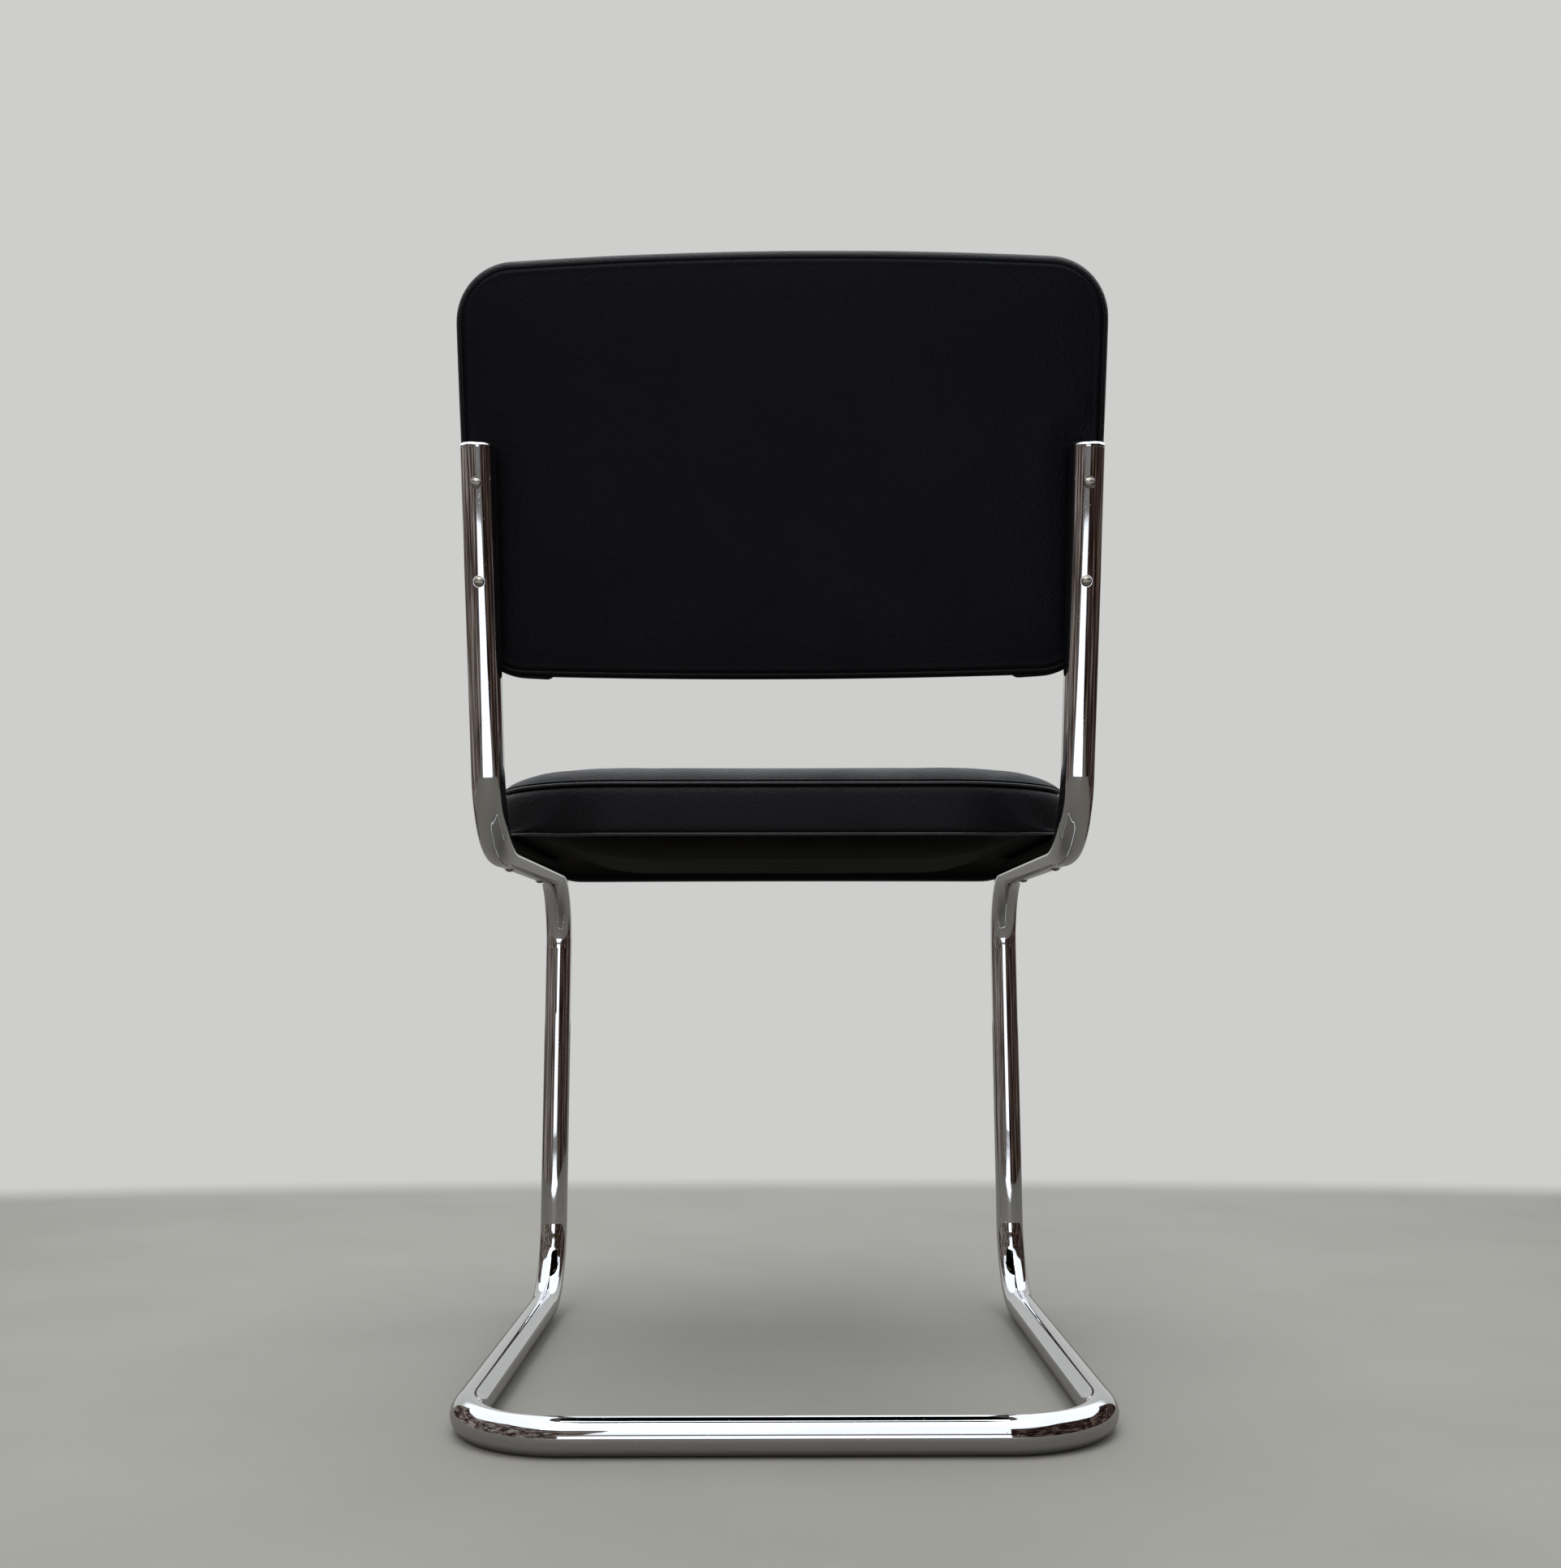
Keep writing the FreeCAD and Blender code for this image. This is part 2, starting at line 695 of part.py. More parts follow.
def below_seat(rise):
    """Everything under the seat's lower face: level over the tubes, turned down along the front."""
    flat = clear + rise
    half_angle = math.asin(drop_reach / drop_radius) / 2
    wide = seat_half + FAR
    behind = seat_rear + FAR
    ahead = seat_front - FAR

    def at(along, up):
        return vector(-wide, along, up)

    start = at(drop_start, flat)
    middle = at(
        drop_start - drop_radius * math.sin(half_angle),
        flat - drop_radius * (1 - math.cos(half_angle)),
    )
    end = at(seat_front, flat - drop)
    edges = [
        line(at(behind, -FAR), at(behind, flat)),
        line(at(behind, flat), start),
        arc(start, middle, end),
        line(end, at(ahead, flat - drop)),
        line(at(ahead, flat - drop), at(ahead, -FAR)),
        line(at(ahead, -FAR), at(behind, -FAR)),
    ]
    return Part.Face(Part.Wire(edges)).extrude(vector(2 * wide, 0, 0))


def half_space(low, high):
    """A wide slab between two levels of the seat."""
    wide = 2 * (seat_half + FAR)
    deep = size("seat_depth") + FAR
    return Part.makeBox(wide, deep, high - low, vector(-wide / 2, seat_front - FAR / 2, low))


envelope = seat_body(0).cut(below_seat(0))
hollow = seat_body(skin)
cover = envelope.cut(hollow)
keep(
    feature("seat_top_cover", cover.common(half_space(seam_level, FAR))),
    "seat_top_cover", seat_frame,
)
keep(
    feature("seat_band_cover", cover.common(half_space(-FAR, seam_level - panel_gap))),
    "seat_band_cover", seat_frame,
)

# The wooden frame's four rails, cut where they meet, with dowels across the joints
edge_inset = BAND_FORM[0][1] + skin + clear
rail_low = clear + skin + panel_gap
rail_high = rail_low + size("rail_thickness")
opening_half = seat_half - edge_inset - size("rail_width")
opening_rear = seat_rear - edge_inset - size("rail_width")
opening_front = seat_front + edge_inset + size("rail_width")
opening_corner = size("rail_opening_corner")
RAIL_DRAW = 0.4


def opening_prism(inset, low, high):
    outline = plan_outline(
        opening_half - inset, opening_rear - inset, opening_front + inset, opening_corner, opening_corner,
        RAIL_DRAW, low,
    )
    return Part.Face(outline).extrude(vector(0, 0, high - low))


ring = seat_prism(edge_inset, rail_low - drop, rail_high)
ring = ring.cut(below_seat(skin + panel_gap)).cut(opening_prism(0, -FAR, FAR))
belly_rear = seat_rear - size("belly_rear_margin")
belly_front = seat_front + size("belly_front_margin")
belly_half = seat_half - size("belly_side_margin")

# The straps share the room between the rear rail and the belly's front, and lie in one rebate on each side.
strap_rear = opening_rear - size("strap_end_margin")
strap_front = max(belly_front, opening_front) + size("strap_end_margin")
strap_room = strap_rear - strap_front - size("strap_width")
strap_gaps = int(strap_room / (size("strap_width") + size("strap_least_gap")))
strap_pitch = strap_room / strap_gaps
strap_middle = (strap_rear + strap_front) / 2
rebate_length = strap_rear - strap_front + 2 * size("strap_end_play")
rebate_depth = size("strap_thickness") + clear
rebate_reach = size("strap_rebate_width") + size("rebate_overrun")
pilot_radius = size("screw_shank_diameter") / 2 + size("bore_clearance")
pilot_length = size("seat_screw_bite") + size("screw_end_play")
for side in (1, -1):
    inner_x = opening_half - size("rebate_overrun")
    low_x = inner_x if side > 0 else -inner_x - rebate_reach
    rebate = Part.makeBox(
        rebate_reach, rebate_length, rebate_depth + FAR,
        vector(low_x, strap_middle - rebate_length / 2, rail_low - FAR),
    )
    ring = ring.cut(rebate)
    for world_y in seat_screw_rows:
        place = seat_frame_inverse.multiply(seat_screw_place(side, world_y))
        start = vector(place.Base.x, place.Base.y, -FAR)
        ring = ring.cut(Part.makeCylinder(pilot_radius, pilot_length + FAR, start, Z_AXIS))

joint_rear = opening_rear - opening_corner
joint_front = opening_front + opening_corner
zone_width = 2 * (seat_half + FAR)
middle_zone = Part.makeBox(
    zone_width, joint_rear - joint_front, 2 * FAR, vector(-zone_width / 2, joint_front, -FAR)
)
rear_zone = Part.makeBox(zone_width, FAR, 2 * FAR, vector(-zone_width / 2, joint_rear, -FAR))
front_zone = Part.makeBox(zone_width, FAR, 2 * FAR, vector(-zone_width / 2, joint_front - FAR, -FAR))
left_zone = Part.makeBox(
    zone_width, size("seat_depth") + 2 * FAR, 2 * FAR, vector(0, seat_front - FAR, -FAR)
)
dowel_radius = size("rail_dowel_diameter") / 2
dowel_length = size("rail_dowel_length")
dowel_play = size("dowel_end_play")
dowel_level = rail_low + (rebate_depth + size("rail_thickness")) / 2
dowel_across = opening_half + size("rail_width") / 2
dowels = []
dowel_holes = []
for side in (1, -1):
    for joint in (joint_rear, joint_front):
        for offset in (-size("rail_dowel_offset"), size("rail_dowel_offset")):
            start = vector(side * dowel_across + offset, joint - dowel_length / 2, dowel_level)
            hole_start = start - vector(0, dowel_play, 0)
            dowels.append(Part.makeCylinder(dowel_radius, dowel_length, start, REARWARD))
            dowel_holes.append(
                Part.makeCylinder(
                    dowel_radius + size("bore_clearance"),
                    dowel_length + 2 * dowel_play,
                    hole_start,
                    REARWARD,
                )
            )
drilled = ring.cut(dowel_holes)
rail_rear = drilled.common(rear_zone)
rail_front = drilled.common(front_zone)
rail_sides = drilled.common(middle_zone)
keep(feature("seat_rail_rear", rail_rear), "seat_rail_rear", seat_frame)
keep(feature("seat_rail_front", rail_front), "seat_rail_front", seat_frame)
keep(feature("seat_rail_left", rail_sides.common(left_zone)), "seat_rail_left", seat_frame)
keep(feature("seat_rail_right", rail_sides.cut(left_zone)), "seat_rail_right", seat_frame)
keep(feature("seat_rail_dowels", Part.makeCompound(dowels)), "seat_rail_dowels", seat_frame)

# Webbing straps across the frame, let into its underside and sagging between the side rails
straps = []
strap_top = rail_low + size("strap_thickness") + cover_gap
strap_low = strap_top - size("strap_thickness")
strap_end = opening_half + size("strap_rebate_width") - size("strap_end_play")
strap_bend = opening_half - size("rebate_overrun")
for number in range(strap_gaps + 1):
    share = 2 * number / strap_gaps - 1
    sag = size("strap_edge_sag") + (size("strap_sag") - size("strap_edge_sag")) * (1 - share ** 2)
    near_y = strap_front + number * strap_pitch

    def at(across, up):
        return vector(across, near_y, up)

    edges = [
        line(at(-strap_end, strap_top), at(-strap_bend, strap_top)),
        arc(at(-strap_bend, strap_top), at(0, strap_top - sag), at(strap_bend, strap_top)),
        line(at(strap_bend, strap_top), at(strap_end, strap_top)),
        line(at(strap_end, strap_top), at(strap_end, strap_low)),
        line(at(strap_end, strap_low), at(strap_bend, strap_low)),
        arc(at(strap_bend, strap_low), at(0, strap_low - sag), at(-strap_bend, strap_low)),
        line(at(-strap_bend, strap_low), at(-strap_end, strap_low)),
        line(at(-strap_end, strap_low), at(-strap_end, strap_top)),
    ]
    straps.append(Part.Face(Part.Wire(edges)).extrude(vector(0, size("strap_width"), 0)))
keep(feature("seat_webbing", Part.makeCompound(straps)), "seat_webbing", seat_frame)

# Padding: crowned above the frame, with a plug that fills the frame's opening down to the webbing
padding_low = rail_high + clear
padding = seat_body(skin + clear).common(half_space(padding_low, FAR))
plug = opening_prism(size("padding_play"), strap_top + clear, padding_low + skin)
keep(feature("seat_padding", padding.fuse(plug).removeSplitter()), "seat_padding", seat_frame)

# The lower cover closes the underside and bellies down between the tubes
# Each step of the belly: the share of its depth, and how far it is drawn in.
BELLY_FORM = ((0.0, 0.0), (0.25, 12.0), (0.52, 28.0), (0.80, 54.0), (1.0, 92.0))
BELLY_CORNER_LOSS = 0.45


def belly_body(inset, level, depth):
    wires = []
    for share, drawn in BELLY_FORM:
        wires.append(
            plan_outline(
                belly_half - inset - drawn, belly_rear - inset - drawn, belly_front + inset + drawn,
                max(size("belly_rear_corner") - BELLY_CORNER_LOSS * drawn, LEAST_PLAN_CORNER),
                max(size("belly_front_corner") - BELLY_CORNER_LOSS * drawn, LEAST_PLAN_CORNER),
                RAIL_DRAW,
                level - depth * share,
            )
        )
    return Part.makeLoft(wires, True, True)


belly_outside = belly_body(0, clear + skin, size("belly_depth") + skin)
belly_inside = belly_body(skin, clear + skin, size("belly_depth"))
flat_sheet = seat_prism(edge_inset - panel_gap, -FAR, FAR).common(below_seat(skin).cut(below_seat(0)))
lower_cover = flat_sheet.fuse(belly_outside).cut(belly_inside)
for side in (1, -1):
    for world_y in seat_screw_rows:
        place = seat_frame_inverse.multiply(seat_screw_place(side, world_y))
        start = vector(place.Base.x, place.Base.y, -FAR / 2)
        lower_cover = lower_cover.cut(Part.makeCylinder(screw_hole_radius, FAR, start, Z_AXIS))
keep(feature("seat_lower_cover", lower_cover), "seat_lower_cover", seat_frame)

# Staples along the rear edge of the lower cover, between its rounded corners
staples = []
staple_wire = size("staple_wire")
staple_line = seat_rear - edge_inset - size("staple_edge_distance")
staple_steps = int((seat_half - size("seat_rear_corner")) / size("staple_pitch"))
for step in range(-staple_steps, staple_steps + 1):
    across = step * size("staple_pitch") - size("staple_length") / 2
    start = vector(across, staple_line, clear - staple_wire)
    staples.append(Part.makeBox(size("staple_length"), staple_wire, staple_wire, start))
keep(feature("seat_staples", Part.makeCompound(staples)), "seat_staples", seat_frame)

# Four screws from below, through the seat runs into the side rails
seat_screws = []
seat_screw_length = "sizes.tube_diameter - sizes.screw_spot_depth + sizes.seat_screw_bite"
for side, word in ((1, "left"), (-1, "right")):
    for number, world_y in enumerate(seat_screw_rows):
        name = "seat_screw_%s_%d" % (word, number)
        seat_screws.append(screw(name, seat_screw_place(side, world_y), seat_screw_length))
keep(group("seat_screws", seat_screws), "seat_screws")

doc.recompute()

for item in doc.Objects:
    if "Invalid" in item.State or "Error" in item.State:
        raise RuntimeError("%s did not build: %s" % (item.Name, item.State))
for item in pieces:
    if item.Shape.isNull() or not item.Shape.isValid():
        raise RuntimeError("%s has no valid shape" % item.Label)

os.makedirs("parts", exist_ok=True)
for item in pieces:
    solids = item.Shape.Solids
    print(item.Label, len(solids), "solids", round(item.Shape.Volume / 1000, 2), "cm3")
    item.Shape.exportStep("parts/" + item.Label + ".step")
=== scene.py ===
import math

import bmesh
import bpy
import numpy as np
from mathutils import Matrix, Vector


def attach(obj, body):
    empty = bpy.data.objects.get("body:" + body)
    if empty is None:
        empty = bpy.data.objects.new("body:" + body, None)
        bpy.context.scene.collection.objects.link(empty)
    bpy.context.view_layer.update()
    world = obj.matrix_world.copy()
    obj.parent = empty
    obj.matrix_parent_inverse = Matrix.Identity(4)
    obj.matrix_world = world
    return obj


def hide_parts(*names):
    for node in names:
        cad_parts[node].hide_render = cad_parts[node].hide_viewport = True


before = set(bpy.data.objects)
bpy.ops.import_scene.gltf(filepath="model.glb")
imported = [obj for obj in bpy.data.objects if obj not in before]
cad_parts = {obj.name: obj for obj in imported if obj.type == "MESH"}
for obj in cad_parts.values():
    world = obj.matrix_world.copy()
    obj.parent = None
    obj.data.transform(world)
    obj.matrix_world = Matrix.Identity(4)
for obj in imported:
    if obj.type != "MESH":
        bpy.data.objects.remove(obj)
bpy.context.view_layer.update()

# Camera. It stands 1.1 m behind the chair and 0.3 m above the floor, and looks up by seven degrees.
# Its place, its turn and its lens were fitted to the edges of the chair's tube.
CAMERA_PLACE = (0.00605, 1.3531, 0.3005)
yaw, pitch, roll = -0.0035, 0.125, -0.0019
ahead = Vector((math.sin(yaw) * math.cos(pitch), -math.cos(yaw) * math.cos(pitch), math.sin(pitch)))
level = ahead.cross(Vector((0, 0, 1))).normalized()
above = level.cross(ahead)
right = level * math.cos(roll) + above * math.sin(roll)
top = above * math.cos(roll) - level * math.sin(roll)
lens = bpy.data.cameras.new("rear_camera")
lens.lens = 37.24
camera = bpy.data.objects.new("rear_camera", lens)
turn = Matrix((right, top, -ahead)).transposed().to_4x4()
camera.matrix_world = Matrix.Translation(CAMERA_PLACE) @ turn
bpy.context.scene.collection.objects.link(camera)
bpy.context.scene.camera = camera
bpy.context.scene.view_settings.view_transform = "Standard"


# Frame: one steel tube of 25 mm, bent cold in two halves that butt in the middle of the rear floor bar.
# It is ground, polished and chrome plated, so it mirrors the room; years of use have hazed it a little.
def linear(code):
    """A colour of six hex digits as the linear colour that the shaders take."""
    parts = [int(code[start:start + 2], 16) / 255 for start in (1, 3, 5)]
    return [p / 12.92 if p <= 0.04045 else ((p + 0.055) / 1.055) ** 2.4 for p in parts] + [1.0]


def finish(name, sockets):
    """A material with these plain values on its shader, and the object's own coordinates."""
    made = bpy.data.materials.new(name)
    made.use_nodes = True
    shader = made.node_tree.nodes["Principled BSDF"]
    for socket, value in sockets.items():
        shader.inputs[socket].default_value = value
    place = add_node(made, "ShaderNodeTexCoord").outputs["Object"]
    return made, shader, place


def add_node(owner, kind, sockets=(), **settings):
    """One shader node; each socket gets a value, or a link from another node's output."""
    tree = owner.node_tree
    made = tree.nodes.new(kind)
    for name, value in settings.items():
        setattr(made, name, value)
    for socket, value in dict(sockets).items():
        if isinstance(value, bpy.types.NodeSocket):
            tree.links.new(value, made.inputs[socket])
        else:
            made.inputs[socket].default_value = value
    return made


def join(owner, shader, links):
    for socket, output in links.items():
        owner.node_tree.links.new(output, shader.inputs[socket])


def dress(names, material):
    """Give CAD nodes a finish through their own material slots."""
    for name in names:
        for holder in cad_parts[name].material_slots:
            holder.material = material


# Chrome: a cold, dark-grey mirror. Haze in patches of some 20 mm dulls it where hands and dusters went.
chrome, shader, place = finish(
    "polished_chrome_plate", {"Base Color": linear("#cbccce"), "Metallic": 1.0, "Roughness": 0.05}
)
haze = add_node(chrome, "ShaderNodeTexNoise", {"Vector": place, "Scale": 45.0, "Detail": 5.0})
scratch_place = add_node(
    chrome, "ShaderNodeMapping",
    {"Vector": place, "Scale": (900.0, 900.0, 60.0), "Rotation": (0.3, 0.2, 0)},
)
scratches = add_node(
    chrome, "ShaderNodeTexNoise", {"Vector": scratch_place.outputs[0], "Scale": 1.0, "Detail": 2.0}
)
scratched = add_node(
    chrome, "ShaderNodeMapRange",
    {"Value": scratches.outputs["Fac"], "From Min": 0.66, "From Max": 0.74, "To Min": 0.0, "To Max": 0.10},
)
hazed = add_node(
    chrome, "ShaderNodeMapRange",
    {"Value": haze.outputs["Fac"], "From Min": 0.45, "From Max": 0.75, "To Min": 0.025, "To Max": 0.10},
)
dull = add_node(
    chrome, "ShaderNodeMath", {0: hazed.outputs[0], 1: scratched.outputs[0]}, operation="ADD"
)
# Bending and polishing by hand leave waves of some 40 mm in the wall, and plating leaves fine pits.
waves = add_node(chrome, "ShaderNodeTexNoise", {"Vector": place, "Scale": 24.0, "Detail": 1.0})
wavy = add_node(chrome, "ShaderNodeBump", {"Height": waves.outputs["Fac"], "Distance": 0.00012})
pits = add_node(chrome, "ShaderNodeTexVoronoi", {"Vector": place, "Scale": 260.0})
pitted = add_node(
    chrome, "ShaderNodeMapRange",
    {"Value": pits.outputs["Distance"], "From Min": 0.03, "From Max": 0.09, "To Min": 0.0, "To Max": 1.0},
)
skin_bump = add_node(
    chrome, "ShaderNodeBump",
    {"Height": pitted.outputs[0], "Distance": 0.00003, "Normal": wavy.outputs[0]},
)
worn_colour = add_node(
    chrome, "ShaderNodeMix",
    {0: pitted.outputs[0], 6: linear("#a29e97"), 7: linear("#cbccce")}, data_type="RGBA",
)
join(chrome, shader, {"Roughness": dull.outputs[0], "Normal": skin_bump.outputs[0],
                      "Base Color": worn_colour.outputs[2]})
dress(["frame_tube_left", "frame_tube_right"], chrome)

# Joint: a steel sleeve in the butted ends of the two halves, held by two screws on the hidden front.
# Zinc plate shows a mottled pale grey; the screws are nickelled, warmer and brighter.
zinc, shader, place = finish(
    "zinc_plated_steel", {"Base Color": linear("#b4b6b8"), "Metallic": 1.0, "Roughness": 0.38}
)
spangle = add_node(zinc, "ShaderNodeTexVoronoi", {"Vector": place, "Scale": 420.0})
mottled = add_node(
    zinc, "ShaderNodeMapRange", {"Value": spangle.outputs["Distance"], "To Min": 0.28, "To Max": 0.5}
)
tint = add_node(
    zinc, "ShaderNodeMix",
    {0: spangle.outputs["Distance"], 6: linear("#bcbec0"), 7: linear("#9a9d9f")}, data_type="RGBA",
)
join(zinc, shader, {"Roughness": mottled.outputs[0], "Base Color": tint.outputs[2]})
dress(["joint_sleeve", "back_nuts", "seat_staples"], zinc)

# Nickelled screws: softly shining, with marks of a millimetre or less, and greyed by handling.
nickel, shader, place = finish(
    "nickelled_steel", {"Base Color": linear("#a9a59b"), "Metallic": 1.0, "Roughness": 0.3}
)
marks = add_node(nickel, "ShaderNodeTexNoise", {"Vector": place, "Scale": 900.0, "Detail": 4.0})
rubbed = add_node(
    nickel, "ShaderNodeMapRange", {"Value": marks.outputs["Fac"], "To Min": 0.2, "To Max": 0.45}
)
tarnish = add_node(
    nickel, "ShaderNodeMix",
    {0: marks.outputs["Fac"], 6: linear("#b9b5ab"), 7: linear("#77736a")}, data_type="RGBA",
)
turned = add_node(nickel, "ShaderNodeBump", {"Height": marks.outputs["Fac"], "Distance": 0.00002})
join(nickel, shader, {"Roughness": rubbed.outputs[0], "Base Color": tarnish.outputs[2],
                      "Normal": turned.outputs[0]})
dress(["sleeve_screws", "back_screws", "seat_screws"], nickel)

# End caps: turned steel plugs, chromed like the tube and pressed into the open tops of the two uprights.
# Each fills the bore for 14 mm and ends in a rim as wide as the tube, with a round edge and a low dome.


def settle(draft, name, place, material, outward=None):
    """Make a drawn mesh one piece of the chair; outward is the way its faces look, if it is open."""
    bmesh.ops.remove_doubles(draft, verts=draft.verts, dist=0.001)
    bmesh.ops.recalc_face_normals(draft, faces=draft.faces)
    if outward is not None:
        facing = sum((face.normal * face.calc_area() for face in draft.faces), Vector())
        if facing.dot(outward) < 0:
            bmesh.ops.reverse_faces(draft, faces=draft.faces)
    bmesh.ops.transform(draft, matrix=place, verts=draft.verts)
    for face in draft.faces:
        face.smooth = True
    mesh = bpy.data.meshes.new(name)
    draft.to_mesh(mesh)
    draft.free()
    mesh.materials.append(material)
    piece = bpy.data.objects.new(name, mesh)
    bpy.context.scene.collection.objects.link(piece)
    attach(piece, "root")
    return piece


# The uprights lean back and spread a little upwards. Their straight runs start at the back's root, half
# a track from the middle. Everything on them is drawn in millimetres.
lean = math.radians(14.8)
back_root = Matrix.Translation((0, 0.1505, 0.4055)) @ Matrix.Rotation(-lean, 4, "X")
MILLIMETRES = Matrix.Scale(0.001, 4)
TUBE_RADIUS, TRACK_HALF, UPRIGHT, SPLAY = 12.5, 217.5, 290.0, 2.0
# Half of the cap in section: how far each point is from the axis, and how high over the tube's end.
BORE_DEPTH, RIM_HIGH, RIM_ROUND = 14.0, 1.2, 3.2
CAP_LINE = [
    (0.0, -BORE_DEPTH), (9.9, -BORE_DEPTH), (10.4, 0.5 - BORE_DEPTH), (10.4, 0.0), (12.1, 0.0),
    (TUBE_RADIUS, 0.4), (TUBE_RADIUS, RIM_HIGH),
]
for step in range(1, 9):
    angle = math.radians(9 * step)
    CAP_LINE.append(
        (TUBE_RADIUS - RIM_ROUND + RIM_ROUND * math.cos(angle), RIM_HIGH + RIM_ROUND * math.sin(angle))
    )
CAP_LINE += [(7.0, 4.65), (3.5, 4.9), (0.0, 5.0)]
for side, word in ((1, "left"), (-1, "right")):
    draft = bmesh.new()
    line = [draft.verts.new((across, 0, high)) for across, high in CAP_LINE]
    edges = [draft.edges.new(pair) for pair in zip(line, line[1:])]
    bmesh.ops.spin(
        draft, geom=line + edges, cent=(0, 0, 0), axis=(0, 0, 1), angle=2 * math.pi, steps=64,
        use_merge=True,
    )
    tube_end = Matrix.Translation((side * (TRACK_HALF + SPLAY), 0, UPRIGHT))
    tube_end = tube_end @ Matrix.Rotation(side * math.atan2(SPLAY, UPRIGHT), 4, "Y")
    cap = settle(
        draft, "end_cap_%s_domed" % word, back_root @ MILLIMETRES @ tube_end, chrome
    )
    cap.data.set_sharp_from_angle(angle=math.radians(35))
    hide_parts("end_cap_" + word)

# Seat frame: four planed beech rails, doweled at their joints, that lie on the tube's two seat runs.
# Beech is pale and pinkish brown, with fine darker streaks along the grain.


def beech_along(name, grain):
    """Beech whose grain runs one way; grain is the pattern's scale along x, y and z, per metre."""
    made, wood, spot = finish(name, {"Base Color": linear("#c79a6b"), "Roughness": 0.52})
    fibre = add_node(made, "ShaderNodeMapping", {"Vector": spot, "Scale": grain})
    streaks = add_node(
        made, "ShaderNodeTexNoise", {"Vector": fibre.outputs[0], "Scale": 1.0, "Detail": 6.0}
    )
    grown = add_node(
        made, "ShaderNodeMix",
        {0: streaks.outputs["Fac"], 6: linear("#d8b083"), 7: linear("#a87746")}, data_type="RGBA",
    )
    raised = add_node(made, "ShaderNodeBump", {"Height": streaks.outputs["Fac"], "Distance": 0.0001})
    join(made, wood, {"Base Color": grown.outputs[2], "Normal": raised.outputs[0]})
    return made


beech_across = beech_along("planed_beech_across", (9.0, 300.0, 300.0))
beech_deep = beech_along("planed_beech_deep", (300.0, 9.0, 300.0))
dress(["seat_rail_front", "seat_rail_rear"], beech_across)
dress(["seat_rail_left", "seat_rail_right", "seat_rail_dowels"], beech_deep)

# Webbing: five straps of woven jute, let into the side rails from below, that carry the seat's foam.
# They sag between the rails, most in the middle of the seat.

# The seat is drawn level, in millimetres, on a plane that touches the tops of the two seat runs. Those
# rise by 4 mm over their 395.5 mm, towards the front.
seat_tilt = math.atan2(4.0, 395.5)
seat_place = Matrix.Translation((0, 0.15063, 0.418)) @ Matrix.Rotation(-seat_tilt, 4, "X") @ MILLIMETRES


def thicken(piece, wall, rounds=1):
    """Round a drawn skin off and give it its wall, which grows inwards from the shown side."""
    if rounds:
        round_off = piece.modifiers.new("round_off", "SUBSURF")
        round_off.levels = rounds
        round_off.render_levels = rounds
    cloth_wall = piece.modifiers.new("wall", "SOLIDIFY")
    cloth_wall.thickness = wall
    cloth_wall.offset = -1.0


# Jute: matt and straw brown, with a plain weave of threads 1.6 mm apart across and along the strap.
jute, shader, place = finish("woven_jute", {"Base Color": linear("#9c7f57"), "Roughness": 0.9})
warp = add_node(
    jute, "ShaderNodeTexWave", {"Vector": place, "Scale": 98.0, "Distortion": 0.4}, bands_direction="X"
)
weft = add_node(
    jute, "ShaderNodeTexWave", {"Vector": place, "Scale": 98.0, "Distortion": 0.4}, bands_direction="Y"
)
woven = add_node(
    jute, "ShaderNodeMath", {0: warp.outputs["Fac"], 1: weft.outputs["Fac"]}, operation="MULTIPLY"
)
fluff = add_node(jute, "ShaderNodeTexNoise", {"Vector": place, "Scale": 300.0, "Detail": 3.0})
straw = add_node(
    jute, "ShaderNodeMix", {0: woven.outputs[0], 6: linear("#6f5636"), 7: linear("#b99a6c")},
    data_type="RGBA",
)
knots = add_node(jute, "ShaderNodeMath", {0: woven.outputs[0], 1: fluff.outputs["Fac"]}, operation="ADD")
thread = add_node(jute, "ShaderNodeBump", {"Height": knots.outputs[0], "Distance": 0.0004})
join(jute, shader, {"Base Color": straw.outputs[2], "Normal": thread.outputs[0]})

STRAP_TOP, STRAP_END, STRAP_BEND = 2.8, 200.1, 179.1
STRAP_HALF, STRAP_PITCH, FIRST_STRAP = 22.5, 54.15, -306.7
# Where the middle strap is and how far the five reach from it, then how far the webbing hangs at its two
# ends, and how much more in the middle.
MIDDLE_STRAP, STRAPS_REACH = -198.4, 130.8
END_SAG, MORE_SAG = 4.7, 9.3


def strap_sag(along):
    """How far the webbing hangs in the middle of its span, at a distance along the seat."""
    share = np.clip((along - MIDDLE_STRAP) / STRAPS_REACH, -1, 1)
    return END_SAG + MORE_SAG * (1 - share ** 2)


draft = bmesh.new()
for number in range(5):
    middle = FIRST_STRAP + STRAP_PITCH * number
    strap = bmesh.ops.create_grid(draft, x_segments=80, y_segments=6, size=1.0)["verts"]
    for point in strap:
        across = point.co.x * STRAP_END
        hang = strap_sag(middle) * max(0.0, 1 - (across / STRAP_BEND) ** 2)
        # Each strap is a little cupped, because its edges are woven tighter.
        cup = 0.35 * point.co.y ** 2 * min(1.0, hang / 4)
        point.co = (across, middle + STRAP_HALF * point.co.y, STRAP_TOP - hang + cup)
webbing = settle(draft, "seat_webbing_straps", seat_place, jute, Vector((0, 0, 1)))
thicken(webbing, 0.0012, 0)
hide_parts("seat_webbing")

# Seat foam: a block of cut upholstery foam, crowned on top, that rests on the rails and fills their
# opening down to the webbing. The covers are pulled over it.


